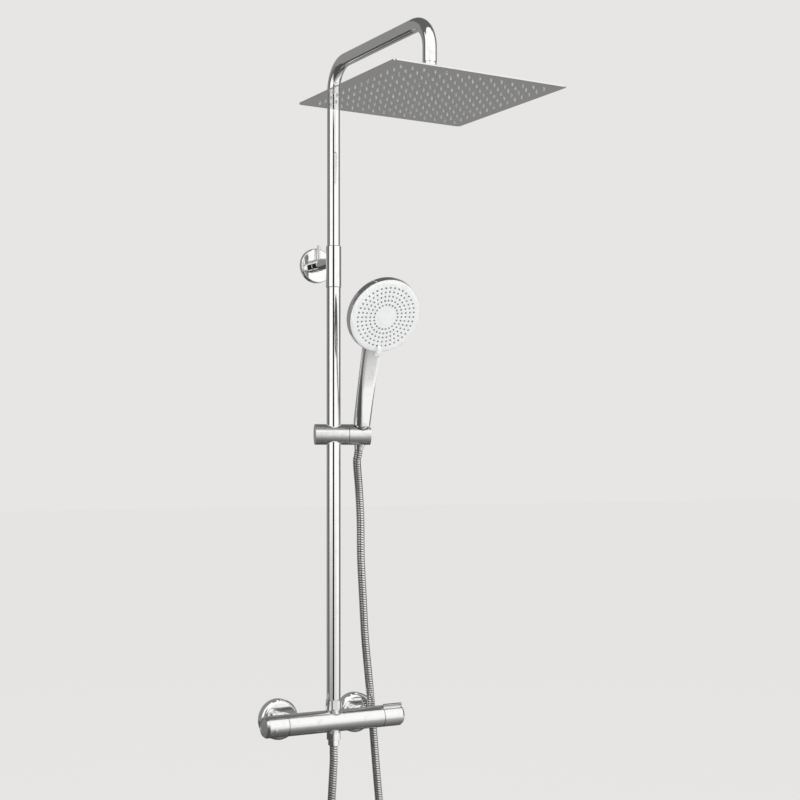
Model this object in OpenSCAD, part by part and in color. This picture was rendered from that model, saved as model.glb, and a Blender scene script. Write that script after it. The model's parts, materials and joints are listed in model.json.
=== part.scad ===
/* [Installation] */
// Distance between the centres of the two wall inlets
inlet_spacing = 150; // [146:1:152]
// Distance from the wall face to the axis of the bar and of the riser
wall_reach = 70; // [68:1:80]
// Height of the overhead arm's axis above the bar's axis
arm_height = 1123.5; // [1100:0.5:1300]
// Distance from the riser's axis to the arm's drop
arm_reach = 314; // [280:1:400]
// Height of the wall bracket's axis above the bar's axis
bracket_height = 787.5; // [760:0.5:800]
// Height of the slider's axis above the bar's axis
slider_height = 491; // [484:1:498]

/* [Threads] */
// Major diameter of a G 1/2 thread
g_half_d = 20.96; // [20.9:0.02:21]
// Major diameter of a G 3/4 thread
g_three_quarter_d = 26.4; // [26.2:0.1:26.6]
// Radial play of a screwed, plugged or turning fit
play = 0.1; // [0.05:0.05:0.15]

/* [Bar mixer] */
// Diameter of the bar and of its knobs
bar_d = 37.5; // [36:0.5:42]
// How far the bar runs past the axis of each inlet
body_over = 16.5; // [15:0.5:20]
// Diameter of the cartridge chamber at each end of the bar
chamber_d = 27; // [26:0.5:28]
// Depth of the cartridge chamber
chamber_l = 50; // [48:1:54]
// Bore of the water ways through the bar, the unions and the risers' end fittings
way_d = 13; // [10:0.5:14]
// Diameter of the boss behind the bar that carries an inlet
inlet_boss_d = 29; // [28:0.5:32]
// How far the inlet boss stands from the bar's axis
inlet_boss_s = 19; // [18.9:0.1:21]
// Diameter of the neck under the riser nut
neck_d = 25; // [24:0.5:28]
// Height of the neck above the bar's axis
neck_h = 20; // [19.5:0.5:23]

/* [Knobs] */
// Length of a knob
knob_l = 39.5; // [38:0.5:44]
// Running gap between the bar and a knob
knob_gap = 1; // [0.5:0.25:1.5]
// Wall of a knob's shell
knob_wall = 2.5; // [2:0.25:3]
// Length of the bevel at a knob's end
bevel_l = 4; // [2:0.5:5]
// Depth of the bevel at a knob's end
bevel_d = 2.5; // [1:0.25:3]
// Diameter of the inset cap in a knob's end
cap_d = 27; // [24:0.5:28]
// Depth of the cap's seat
cap_seat = 3.5; // [3:0.25:4]
// Thickness of the end wall under the cap
end_wall = 2.5; // [2:0.25:3]
// Diameter of the cartridge spindles
spindle_d = 8; // [7:0.5:9]
// Diameter of the safety button
button_d = 8.5; // [7.5:0.25:9]
// Distance of the safety button from the knob's inner face
button_x = 24.5; // [23:0.5:25]
// Angle of the safety button below the horizontal
button_angle = 16; // [0:1:40]
// Travel of the safety button
button_travel = 2.5; // [1.5:0.1:2.5]
// Height of the flow knob's thumb rib above the knob
rib_h = 5.5; // [4:0.5:8]
// Width of the flow knob's thumb rib
rib_w = 4; // [3:0.5:8]
// Turn of the thumb rib from the top towards the room
rib_turn = 26; // [0:1:40]

/* [Wall connections] */
// Width across flats of a union nut
union_nut_af = 30; // [29.5:0.5:32]
// Length of a union nut
union_nut_l = 17.7; // [16:0.1:20]
// Diameter of a wall rose
rose_d = 70; // [60:1:75]
// Depth of a wall rose's rim
rose_rim = 13; // [8:0.5:14]
// Depth of a wall rose at its middle
rose_depth = 17.5; // [16:0.5:22]
// Wall of a rose
rose_wall = 1.8; // [1.2:0.1:2]
// Length of the thread that screws into the wall pipe
wall_thread_l = 18; // [14:1:24]

/* [Riser] */
// Outer diameter of the lower riser tube
lower_d = 24; // [24:0.5:25]
// Outer diameter of the upper riser tube and the arm
upper_d = 22; // [20:0.5:22]
// Wall of the riser tubes
tube_wall = 0.9; // [0.8:0.05:0.95]
// Width across flats of the riser nut
riser_nut_af = 26; // [25.5:0.5:28]
// Length of the riser nut
riser_nut_l = 16.3; // [15:0.1:18]
// Centreline radius of the arm's bends
bend_r = 45; // [40:1:60]
// Length of the upper tube that stands below the collar's top
insert_l = 314; // [290:1:320]
// Diameter of the riser collar
collar_d = 26; // [26:0.5:30]
// Height of the riser collar
collar_h = 71.5; // [65:0.5:80]
// How far the riser collar reaches below the bracket's axis
collar_drop = 45; // [30:0.5:48]

/* [Wall bracket] */
// Diameter of the bracket's flange
flange_d = 60; // [56:1:66]
// Depth of the bracket's flange
flange_h = 9; // [8:0.5:11]
// Diameter of the bracket's socket
socket_d = 22; // [20:0.5:24]
// Distance from the wall to the socket's mouth
socket_reach = 27; // [25:0.5:30]
// Distance between the two wall screws
bracket_screws = 34; // [32:1:36]
// Diameter of the wall screws' holes
bracket_hole_d = 5.2; // [4.2:0.1:5.6]
// Diameter of the lock pin
lock_pin_d = 5.5; // [4:0.5:6]
// Distance from the wall to the lock pin's axis
lock_pin_s = 14; // [13:0.5:16]
// Height of the lock pin above the bracket's axis
lock_pin_h = 34.5; // [30:0.5:48]

/* [Overhead spray] */
// Width of the overhead spray
head_w = 300; // [290:1:350]
// Distance from the arm's axis down to the spray plate's underside
head_drop = 119.5; // [112:0.5:125]
// Radius of the spray's corners
head_corner = 6; // [3:0.5:10]
// Thickness of the spray's two sheets
sheet = 1; // [0.8:0.1:1.2]
// Distance between nozzles
head_pitch = 19.2; // [14:0.1:24]
// Diameter of an overhead nozzle
head_nozzle_d = 2.6; // [2:0.1:3.5]
// How far the overhead nozzles stand out
head_nozzle_h = 1.6; // [1:0.1:2.5]
// Diameter of the ball in the spray's joint
ball_d = 20; // [19:0.5:20]
// Diameter of the ball joint's nut
head_nut_d = 30; // [29:0.5:34]

/* [Hand shower slider] */
// Diameter of the slider's barrel
barrel_d = 35.5; // [35:0.5:38]
// Distance from the riser's axis to the slider's clamp end
clamp_reach = 32.5; // [31.5:0.5:36]
// Diameter of the clamp knob set into the slider's end
clamp_knob_d = 25; // [22:0.5:27]
// Depth of the clamp knob's seat
clamp_knob_l = 6; // [5:0.5:7]
// Distance from the riser's axis to the split between clamp and holder
split_reach = 25.4; // [24:0.2:26]
// Distance from the riser's axis to the holder's outer face
holder_reach = 63; // [62:0.5:65]
// Distance from the riser's axis to the hand shower's axis
cone_reach = 46.8; // [46.4:0.2:48]
// Wall of the slider's liner
liner_wall = 1.4; // [1.2:0.1:1.6]
// Turn of the slider round the riser at rest
slider_turn = 20; // [10:1:25]
// Lean of the holder's cone along the barrel
cone_skew = 3.5; // [0:0.5:5]
// Lean of the hand shower away from the wall at rest
lean = 22; // [18:1:26]

/* [Hand shower] */
// Diameter of the hose cone at the slider's axis
cone_d = 21.4; // [21.2:0.1:21.8]
// Width of the handle at its foot
handle_foot_w = 28.8; // [27:0.2:29]
// Width of the handle at the head
handle_top_w = 32; // [30:0.5:34]
// Depth of the handle from front to back
handle_depth = 24; // [22:0.5:27]
// Distance from the slider's axis to the head's centre along the handle
head_offset = 225; // [215:1:240]
// Distance from the handle's axis to the spray face
face_offset = 30; // [29:0.5:32]
// Tilt of the spray face against the handle
face_tilt = 4; // [0:0.5:6]
// Twist of the hand shower round its handle at rest
handset_twist = 16; // [0:1:24]
// Diameter of the hand shower's head
handset_d = 130; // [128:1:140]
// Diameter of the spray face
face_d = 127; // [124:0.5:127]
// Diameter of a hand shower nozzle
handset_nozzle_d = 2; // [1.6:0.1:2.4]

/* [Hose] */
// Outer diameter of the hose
hose_d = 14; // [12:0.5:14]
// Diameter of the hose nut under the bar
hose_nut_d = 23.6; // [23.2:0.1:26]
// Distance from the bar's axis to the hose nut's lower face
hose_nut_z = 31.7; // [31:0.1:34]
// Diameter of the ferrule under the hose nut
ferrule_d = 18.6; // [17:0.2:18.8]
// Length of the ferrule under the hose nut
ferrule_l = 9.8; // [8:0.2:12]
// Diameter of the ferrule under the hose cone
cone_ferrule_d = 15.8; // [15:0.2:17]
// Length of the ferrule under the hose cone
cone_ferrule_l = 6; // [5:0.5:12]

/* [Hidden] */
$fn = 72;
over = 1;              // how far a cut runs past the face that it opens
seat_gap = 0.3;        // distance left between neighbouring faces that don't bear on each other

chrome = "silver";
steel = "lightgray";
brass = "goldenrod";
plastic = "whitesmoke";
grey_rubber = "gray";
black_rubber = "dimgray";

// ---------- bar mixer ----------
body_half = inlet_spacing / 2 + body_over;
chamber_floor = body_half - chamber_l;
fit = 2 * play;                              // the same play, on a diameter
spigot_l = 9;                                // length of the threaded spigots of the bar
washer_t = 1.5;
nut_grip = 7;                                // depth that a cartridge nut screws into the bar
nut_rim = 6;                                 // depth of its collar inside the knob
nut_rim_d = 30;
case_end = body_half - nut_grip;             // outer end of a cartridge
case_wall = 4.5;                             // end wall of a cartridge, round its spindle
case_bore = 16;
disc_t = 4;
disc_seat = 26;                              // depth of the ceramic discs' seat in their case
disc_top = chamber_floor + disc_seat;        // where the flow spindle meets its ceramic disc
sleeve_l = 18;                               // regulating sleeve of the temperature cartridge

// ---------- knobs, measured along the bar from a knob's inner face ----------
knob_x = body_half + knob_gap;
knob_bore_d = bar_d - 2 * knob_wall;
hub_top = knob_l - cap_seat - end_wall;
stop_t = 3;
hub_foot = nut_rim - knob_gap + stop_t + 3;
spindle_top = hub_top - 5.5;
screw_d = 4;
screw_l = 12;
screw_head_h = 1.9;
access_d = 18;                               // hole under the cap, for the screw's head
rib_end = 3;                                 // the thumb rib stops this far before the knob's end
button_stand = 1.1;                          // how far the button stands proud
button_foot_d = button_d + 1.9;
button_foot_t = 1.6;
button_foot_r = sqrt(pow(knob_bore_d / 2, 2) - pow(button_foot_d / 2, 2))
    - button_foot_t - seat_gap / 2;
pocket_r = button_foot_r - button_travel - 2.8;
spring_wire = 0.7;
spring_turns = 3;

// ---------- wall connections, measured from the bar's axis towards the wall ----------
nipple_d = 18;
nipple_foot = chamber_d / 2 + 0.5;
union_nut_s = inlet_boss_s + seat_gap;
union_lip = 3.2;
nipple_head = union_nut_s + union_lip;
nipple_head_t = 2.5;
filter_s = nipple_head + nipple_head_t;
filter_t = 2;
union_s = filter_s + filter_t;
union_bore_d = 15;
union_shoulder = wall_reach - 2;             // where the pipe thread starts
check_valve_l = 14;
rose_shoulder = 3.6;                         // width of the rounded shoulder of a rose

// ---------- riser ----------
upper_bore_d = upper_d - 2 * tube_wall;
lower_bore_d = lower_d - 2 * tube_wall;
spigot_top = neck_h + spigot_l;
tail_foot = spigot_top + washer_t;
tail_foot_t = 2;
tail_neck_d = 17;
riser_nut_z = neck_h + seat_gap;
riser_nut_top = riser_nut_z + riser_nut_l;
tail_rim = riser_nut_top + 0.4;
tail_rim_t = 2;
riser_foot = tail_rim + tail_rim_t;
tail_plug_l = 21;
nut_lip = riser_nut_top - tail_foot - tail_foot_t - 0.5;
collar_z = bracket_height - collar_drop;
collar_top = collar_z + collar_h;
collar_lip = 24;                             // depth of the collar that guides the upper tube
lower_top = collar_top - collar_lip;
upper_foot = collar_top - insert_l;
bush_h = 26;
bush_skirt = 4;
collar_screw_d = 5;
collar_screw_z = collar_top - collar_lip / 2;
head_z = arm_height - head_drop;
joint_h = 52;                                // from the spray's underside up to the arm's drop
drop_foot = head_z + joint_h;
tip_d = 18;
tip_l = 12;
tip_plug = 6;

// ---------- overhead spray ----------
ball_z = head_z + ball_d;                    // centre of the ball joint
seat_t = 1.4;
socket_sphere = ball_d / 2 + seat_t + fit;   // radius of the nut's hollow
head_nut_top = ball_z + 7;
neck_ball_d = 10;
stud_d = 21;
stud_foot = head_nut_top + 6.5;
stud_top = drop_foot - 2;
pan_margin = 16;                             // flat rim round the raised pan of the cover
pan_w = head_w - 2 * pan_margin;
pan_h = 2.5 + sheet;
cover_top = head_z + sheet + pan_h;
boss_d = 2 * socket_sphere - fit;
boss_top = cover_top + 5.1;
mat_t = 1;
mat_w = pan_w - 2 * sheet - 1;
head_rows = floor((mat_w - 2 * head_nozzle_d) / head_pitch) + 1;

// ---------- wall bracket ----------
plate_d = 50;
plate_t = 4;
flange_wall = 1.5;
arm_root_d = 22;
arm_tip_d = 12;
socket_stud_d = 8;
shank_d = 15;
shank_l = 19;
stud_pin_d = 5;

// ---------- slider, measured from the riser's axis along its barrel ----------
liner_d = lower_d + fit + 2 * liner_wall;
bore_d = liner_d + fit;
pad_d = 12;
pad_back = 18.8;
shoe_stud_d = 6;
sleeve_d = 10;                               // hollow boss of the clamp knob
sleeve_foot = pad_back + 1.2;
shoe_travel = 0.6;
clamp_seat = clamp_reach - clamp_knob_l;
shoe_end = clamp_seat + 2;
grip_grooves = 12;
holder_liner_t = 1.5;
axle_d = 8;
axle_root = 15;
axle_head_d = 14;
axle_head_t = 3.4;
axle_head_x = cone_reach - cone_d / 2 - holder_liner_t - axle_head_t - 0.8;
slot_w = hose_d + 1.5;

// ---------- hand shower, measured along its handle from the slider's axis ----------
cone_slope = 0.112;                          // change of the cone's diameter per unit of height
cone_low = -20;
cone_high = 18;
handle_foot = cone_high + 0.5;
spigot_foot = handle_foot - 10;
handle_bore_d = 12;
neck_drop = 20;                              // the handle runs into the head this far below its middle
handle_end = head_offset - neck_drop;
swivel_d = 13;                               // shank of the ferrule that turns in the hose cone
ferrule_foot = cone_low - seat_gap - cone_ferrule_l;
shell_wall = 2.5;
face_t = 3.5;
face_back = face_offset - face_t;
dome_rim = face_offset - 5;                  // where the domed back meets the rim
dome_depth = 27;
dial_d = handset_d - 10;
dial_w = 9;
dial_t = 2.5;
dial_back = dome_rim - 3;
dial_sweep = 25;                             // travel of the spray dial to each side
tab_out = handset_d / 2 + 6;
tab_in = tab_out - 15;
tab_t = 3.4;
ring_step = 7.4;                             // distance between the nozzle rings of the spray face
ring_first = 21.5;
ring_pitch = 6.1;                            // distance between nozzles in the innermost ring
ring_widen = 0.48;                           // how much that distance grows from ring to ring
ring_last = floor((face_d / 2 - ring_first - 3 * handset_nozzle_d) / ring_step);
// radius and number of nozzles in each ring
handset_rings = [for (i = [0:ring_last]) let (r = ring_first + i * ring_step)
    [r, 2 * round(PI * r / (ring_pitch + i * ring_widen))]];

// ---------- hose ----------
hose_exit_z = -hose_nut_z - ferrule_l;
hose_fall = 30;                              // it hangs straight for this far below the bar
hose_rise = 26;                              // and runs straight into the hand shower from here
hose_bore_d = 8;
slider_at = [0, -wall_reach, slider_height];
out_lean = cos(cone_skew) * sin(lean);        // share of the cone's axis that runs into the room
cone_dir = [cos(slider_turn) * sin(cone_skew) - sin(slider_turn) * out_lean,
    -sin(slider_turn) * sin(cone_skew) - cos(slider_turn) * out_lean,
    cos(cone_skew) * cos(lean)];
cone_at = slider_at + cone_reach * [cos(slider_turn), -sin(slider_turn), 0];
// the hose hangs in a loop from the bar's outlet to the hand shower's foot
hose_route = concat(
    [for (down = [0, 0.5, 1]) [0, -wall_reach, hose_exit_z - down * hose_fall]],
    [[-3, -69, -130], [-6, -67, -200], [-7, -64, -280], [-6, -60, -350], [-1, -56, -405],
     [13, -51, -446], [33, -47, -470], [57, -45, -478], [81, -42, -470], [101, -39, -446],
     [114, -37, -405], [119, -35, -345], [119, -32, -270], [116, -29, -190],
     [109, -26, -100], [101, -25, -5], [89, -34, 65], [79, -39, 135], [73, -42, 205],
     [68, -44, 275], [66, -46, 340], [61, -50, 392]],
    [for (back = [1, 0.5, 0])
        cone_at + (ferrule_foot - seat_gap - back * hose_rise) * cone_dir]);

// ---------- shared shapes ----------
module rod(d, z0, z1) translate([0, 0, z0]) cylinder(d = d, h = z1 - z0);

module cone(d0, d1, z0, z1) translate([0, 0, z0]) cylinder(d1 = d0, d2 = d1, h = z1 - z0);

module pipe(d, bore, z0, z1) difference() {
    rod(d, z0, z1);
    rod(bore, z0 - over, z1 + over);
}

// a six-sided prism with two flats facing front and back, its corners turned off
module hex(af, z0, z1) intersection() {
    translate([0, 0, z0]) cylinder(d = af / cos(30), h = z1 - z0, $fn = 6);
    union() {
        cone(af + 0.6, af / cos(30) + 0.2, z0, z0 + 1.2);
        rod(af / cos(30) + 0.2, z0 + 1.2, z1 - 1.2);
        cone(af / cos(30) + 0.2, af + 0.6, z1 - 1.2, z1);
    }
}

module rounded_square(w, r) {
    square([w - 2 * r, w], center = true);
    square([w, w - 2 * r], center = true);
    for (x = [-1, 1], y = [-1, 1]) translate([x, y] * (w / 2 - r)) circle(r);
}

// turns a shape's Z axis to +X, to the wall and to the room
module to_right() rotate([0, 90, 0]) children();
module to_left() rotate([0, -90, 0]) children();
module to_wall() rotate([-90, 0, 0]) children();
module to_room() rotate([90, 0, 0]) children();

// places for the two inlets, with Z running from the bar's axis towards the wall
module at_inlets() for (side = [-1, 1])
    translate([side * inlet_spacing / 2, -wall_reach, 0]) to_wall() children();
module at_riser() translate([0, -wall_reach, 0]) children();
module at_left_end() at_riser() to_left() children();
module at_right_end() at_riser() to_right() children();
module at_ends() { at_left_end() children(); at_right_end() children(); }
module at_bracket() translate([0, 0, bracket_height]) to_room() children();
module at_drop() translate([0, -wall_reach - arm_reach, 0]) children();
module at_slider() translate(slider_at) rotate([0, 0, -slider_turn]) children();
module at_cone() at_slider() translate([cone_reach, 0, 0]) rotate([lean, 0, 0])
    rotate([0, cone_skew, 0]) children();
module at_handset() at_cone() rotate([0, 0, handset_twist]) children();
module at_face() at_handset() translate([0, 0, head_offset]) rotate([face_tilt, 0, 0])
    to_room() children();

// a tube swept along points; ref is a direction that the tube never runs along
function tangent(p, i) = let (a = p[max(i - 1, 0)], b = p[min(i + 1, len(p) - 1)])
    (b - a) / norm(b - a);
function sweep_ring(p, i, r, n, ref) =
    let (t = tangent(p, i), s = cross(t, ref), u = s / norm(s), v = cross(u, t))
    [for (k = [0:n - 1]) p[i] + r * (cos(360 * k / n) * u + sin(360 * k / n) * v)];
module swept(p, r, n, ref) {
    rings = [for (i = [0:len(p) - 1]) each sweep_ring(p, i, r, n, ref)];
    last = (len(p) - 1) * n;
    sides = [for (i = [0:len(p) - 2], k = [0:n - 1])
        let (a = i * n + k, b = i * n + (k + 1) % n) each [[a, b, b + n], [a, b + n, a + n]]];
    ends = [[for (k = [n - 1:-1:0]) k], [for (k = [0:n - 1]) last + k]];
    polyhedron(points = rings, faces = concat(sides, ends));
}
// a smooth curve through points, in steps between each two
function curve_at(a, b, c, d, t) = 0.5 * (2 * b + (c - a) * t + (2 * a - 5 * b + 4 * c - d) * t * t
    + (3 * b - a - 3 * c + d) * t * t * t);
function curve(p, steps) = concat([for (i = [0:len(p) - 2], k = [0:steps - 1])
    curve_at(p[max(i - 1, 0)], p[i], p[i + 1], p[min(i + 2, len(p) - 1)], k / steps)],
    [p[len(p) - 1]]);

// ---------- bar mixer ----------
module valve_body() color(chrome) difference() {
    union() {
        at_riser() {
            to_right() rod(bar_d, -body_half, body_half);
            cone(neck_d + 8, neck_d, neck_h - 6, neck_h - 1.5);
            rod(neck_d, 0, neck_h);
            rod(g_half_d, 0, spigot_top);
            rod(g_half_d, -bar_d / 2 - spigot_l, 0);
        }
        at_inlets() rod(inlet_boss_d, bar_d / 4, inlet_boss_s);
    }
    at_ends() rod(chamber_d, chamber_floor, body_half + over);
    at_riser() {
        to_right() rod(way_d, -chamber_floor - over, chamber_floor + over);
        rod(way_d, -bar_d / 2 - spigot_l - over, spigot_top + over);
    }
    at_inlets() rod(nipple_d + fit, nipple_foot - over, inlet_boss_s + over);
}

module inlet_nipples() color(brass) at_inlets() difference() {
    union() {
        rod(nipple_d, nipple_foot, nipple_head);
        rod(g_three_quarter_d - 1, nipple_head, filter_s);
    }
    rod(way_d, nipple_foot - over, filter_s + over);
}

module check_valves() color(plastic) at_inlets() {
    pipe(union_bore_d - fit, 9, union_s + 0.5, union_s + 0.5 + check_valve_l);
    // the poppet and the web that guides it are seen as a closed plug inside the sleeve
    rod(9.2, union_s + 4, union_s + 7);
}

module union_nuts() color(chrome) at_inlets() rotate([0, 0, 30]) difference() {
    hex(union_nut_af, union_nut_s, union_nut_s + union_nut_l);
    rod(nipple_d + 2 * fit, union_nut_s - over, nipple_head + over);
    rod(g_three_quarter_d + fit, nipple_head, union_nut_s + union_nut_l + over);
}

module seal_washers() color(black_rubber) {
    at_inlets() pipe(g_three_quarter_d - 1, way_d, filter_s, union_s);
    at_riser() {
        pipe(g_half_d - 0.6, way_d, spigot_top, tail_foot);
        translate([0, 0, -bar_d / 2 - spigot_l - washer_t]) pipe(g_half_d - 0.6, way_d, 0, washer_t);
    }
}

module wall_unions() color(chrome) at_inlets() difference() {
    union() {
        rod(g_three_quarter_d, union_s, union_shoulder);
        rod(g_half_d, union_shoulder, wall_reach - 2 + wall_thread_l);
    }
    rod(union_bore_d, union_s - over, union_shoulder + wall_thread_l + over);
}

module roses() color(chrome) for (side = [-1, 1])
    translate([side * inlet_spacing / 2, 0, 0]) to_room() rotate_extrude() polygon([
        [rose_d / 2 - rose_wall, 0], [rose_d / 2, 0], [rose_d / 2, rose_rim],
        [rose_d / 2 - 1, rose_rim + 2.1], [rose_d / 2 - rose_shoulder, rose_rim + 3],
        [g_three_quarter_d / 2 + play, rose_depth],
        [g_three_quarter_d / 2 + play, rose_depth - rose_wall],
        [rose_d / 2 - rose_shoulder, rose_rim + 3 - rose_wall],
        [rose_d / 2 - rose_wall, rose_rim]]);

// the case of a cartridge: open at its floor, with a bearing for the spindle at its mouth
module cartridge_case() difference() {
    rod(chamber_d - fit, chamber_floor + 0.5, case_end);
    rod(case_bore, chamber_floor, case_end - case_wall);
    rod(spindle_d + fit, case_end - case_wall - over, case_end + over);
}

module thermostatic_cartridge() color(plastic) at_left_end() difference() {
    cartridge_case();
    // two rows of ports, for cold and for hot water
    for (x = [inlet_spacing / 2 - 14, inlet_spacing / 2 - 2], a = [0:60:300])
        translate([0, 0, x]) rotate([90, 0, a + 30]) rod(4.5, 0, chamber_d);
}

module regulator_sleeve() color(brass) at_left_end()
    pipe(case_bore - fit, 10, disc_top - sleeve_l, disc_top);

module spindle(foot) {
    rod(case_bore - fit, foot, foot + 4);
    difference() {
        rod(spindle_d, foot + 4, knob_x + spindle_top);
        rod(screw_d + play, knob_x + spindle_top - 8, knob_x + spindle_top + over);
    }
}

module temperature_spindle() color(brass) at_left_end() spindle(case_end - case_wall - 7);

module cartridge_nuts() color(brass) at_ends() difference() {
    union() {
        rod(chamber_d - play, case_end, body_half);
        rod(nut_rim_d, body_half, body_half + nut_rim);
    }
    rod(spindle_d + 8, case_end - over, body_half + nut_rim + over);
}

module stop_rings() color(black_rubber) at_ends() difference() {
    rod(nut_rim_d - 1, body_half + nut_rim, body_half + nut_rim + stop_t);
    rod(spindle_d + 2, body_half + nut_rim - over, body_half + nut_rim + stop_t + over);
}

// a knob's shell, standing on its inner face
module knob_shell() rotate_extrude() polygon([
    [knob_bore_d / 2, 0], [bar_d / 2, 0], [bar_d / 2, knob_l - bevel_l],
    [bar_d / 2 - bevel_d, knob_l], [cap_d / 2, knob_l], [cap_d / 2, knob_l - cap_seat],
    [access_d / 2, knob_l - cap_seat], [access_d / 2, hub_top], [knob_bore_d / 2, hub_top]]);

module knob_hub() difference() {
    rod(knob_bore_d - fit, hub_foot, hub_top);
    rod(spindle_d + play, hub_foot - over, spindle_top);
    rod(screw_d + fit, spindle_top - over, hub_top + over);
}

module knob_cap() {
    rod(cap_d - fit, knob_l - cap_seat, knob_l - 1);
    cone(cap_d - fit, cap_d - 2, knob_l - 1, knob_l - 0.4);
}

module knob_screw() {
    rod(screw_d, hub_top - screw_l, hub_top);
    difference() {
        rod(2 * screw_d, hub_top, hub_top + screw_head_h);
        translate([0, 0, hub_top + 0.7]) cylinder(d = 2.6, h = screw_head_h, $fn = 6);
    }
}

// the safety button's place: Z runs out of the knob
module at_button() translate([-knob_x - button_x, -wall_reach, 0])
    rotate([button_angle, 0, 0]) to_room() children();

module temperature_knob() color(chrome) difference() {
    at_left_end() translate([0, 0, knob_x]) knob_shell();
    at_button() rod(button_d + 2 * fit, knob_bore_d / 4, bar_d);
}

module temperature_hub() color(plastic) difference() {
    at_left_end() translate([0, 0, knob_x]) knob_hub();
    at_button() rod(button_foot_d + 2 * fit, pocket_r, bar_d);
}

module temperature_cap() color(chrome) at_left_end() translate([0, 0, knob_x]) knob_cap();

module temperature_screw() color(steel) at_left_end() translate([0, 0, knob_x]) knob_screw();

module safety_button() color(chrome) at_button() {
    rod(button_foot_d, button_foot_r, button_foot_r + button_foot_t);
    rod(button_d, button_foot_r + button_foot_t, bar_d / 2 + button_stand - 0.5);
    cone(button_d, button_d - 1, bar_d / 2 + button_stand - 0.5, bar_d / 2 + button_stand);
}

module safety_spring() color(steel) at_button() {
    coil_r = button_foot_d / 2 - 1.4;
    low = pocket_r + spring_wire / 2;
    rise = button_foot_r - pocket_r - spring_wire;
    swept([for (a = [0:30:360 * spring_turns])
        [coil_r * cos(a), coil_r * sin(a), low + rise * a / 360 / spring_turns]],
        spring_wire / 2, 8, [0, 0, 1]);
}

module flow_cartridge() color(plastic) at_right_end() difference() {
    cartridge_case();
    for (a = [0:90:270]) translate([0, 0, inlet_spacing / 2 - 8]) rotate([90, 0, a + 45])
        rod(6, 0, chamber_d);
}

module ceramic_disc() color(plastic) at_right_end() difference() {
    rod(case_bore - fit, disc_top - disc_t, disc_top);
    for (side = [-1, 1]) translate([side * 4, 0, 0]) rod(3.4, chamber_floor, body_half);
}

module flow_spindle() color(brass) at_right_end() spindle(disc_top);

module flow_knob() color(chrome) {
    at_right_end() translate([0, 0, knob_x]) knob_shell();
    // the thumb rib runs along the knob
    at_riser() rotate([rib_turn, 0, 0]) translate([knob_x, -rib_w / 2, bar_d / 2 - 1])
        cube([knob_l - rib_end, rib_w, rib_h + 1]);
}

module flow_hub() color(plastic) at_right_end() translate([0, 0, knob_x]) knob_hub();

module flow_cap() color(chrome) at_right_end() translate([0, 0, knob_x]) knob_cap();

module flow_screw() color(steel) at_right_end() translate([0, 0, knob_x]) knob_screw();

// ---------- riser and arm ----------
module riser_tail() color(brass) at_riser() difference() {
    union() {
        rod(g_half_d - 0.4, tail_foot, tail_foot + tail_foot_t);
        rod(tail_neck_d, tail_foot + tail_foot_t, tail_rim);
        rod(lower_d, tail_rim, riser_foot);
        rod(lower_bore_d - play, riser_foot, riser_foot + tail_plug_l);
    }
    rod(way_d, tail_foot - over, riser_foot + tail_plug_l + over);
}

module riser_nut() color(chrome) at_riser() difference() {
    hex(riser_nut_af, riser_nut_z, riser_nut_top);
    rod(g_half_d + fit, riser_nut_z - over, riser_nut_top - nut_lip);
    rod(tail_neck_d + 2 * fit, riser_nut_top - nut_lip - over, riser_nut_top + over);
}

module lower_riser() color(chrome) at_riser() pipe(lower_d, lower_bore_d, riser_foot, lower_top);

module riser_collar() color(chrome) at_riser() difference() {
    union() {
        cone(collar_d - 2, collar_d, collar_z, collar_z + 1);
        rod(collar_d, collar_z + 1, collar_top - 1);
        cone(collar_d, collar_d - 2, collar_top - 1, collar_top);
    }
    rod(lower_d + play, collar_z - over, lower_top);
    rod(upper_d + fit, lower_top - over, collar_top + over);
    // holes for the bracket arm's stud and for the set screw
    translate([0, 0, bracket_height]) to_wall() rod(stud_pin_d + play, lower_d / 4, collar_d);
    translate([0, 0, collar_screw_z]) to_right() rod(collar_screw_d + play, upper_d / 4, collar_d);
}

module collar_screw() color(steel) translate([0, -wall_reach, collar_screw_z]) to_right()
    difference() {
        rod(collar_screw_d, upper_d / 2 + fit, collar_d / 2 - 0.1);
        translate([0, 0, collar_d / 2 - 1.2]) cylinder(d = 2.6, h = over + 1.2, $fn = 6);
    }

// a guide that plugs into the foot of the upper tube and runs inside the lower one
module guide_bush() color(plastic) at_riser() difference() {
    union() {
        rod(lower_bore_d - fit, upper_foot - bush_skirt, upper_foot - 0.2);
        rod(upper_bore_d - fit, upper_foot - 0.2, upper_foot + bush_h);
    }
    rod(way_d, upper_foot - bush_skirt - over, upper_foot + bush_h + over);
}

// the arm's run at a given diameter: riser, bend, arm, bend and drop
module arm_run(d, past) {
    bend_y = wall_reach + bend_r;
    at_riser() rod(d, upper_foot - past, arm_height - bend_r);
    translate([0, -bend_y, arm_height - bend_r]) bend(d) translate([0, 0]) square(2 * bend_r);
    translate([0, -bend_y, arm_height]) to_room() rod(d, 0, arm_reach - 2 * bend_r);
    translate([0, -wall_reach - arm_reach + bend_r, arm_height - bend_r]) bend(d)
        translate([-2 * bend_r, 0]) square(2 * bend_r);
    at_drop() rod(d, drop_foot - past, arm_height - bend_r);
}

// the quarter of a ring in the Y-Z plane that the child's outline keeps
module bend(d) rotate([90, 0, 90]) intersection() {
    rotate_extrude() translate([bend_r, 0]) circle(d = d);
    linear_extrude(height = 2 * d, center = true) children();
}

module shower_arm() color(chrome) {
    difference() {
        arm_run(upper_d, 0);
        arm_run(upper_bore_d, over);
    }
    // threaded tip, soldered into the drop
    at_drop() difference() {
        union() {
            rod(upper_bore_d + 0.4, drop_foot, drop_foot + tip_plug);
            rod(tip_d, drop_foot - tip_l, drop_foot + over);
        }
        rod(way_d - 1, drop_foot - tip_l - over, drop_foot + tip_plug + over);
    }
}

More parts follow.
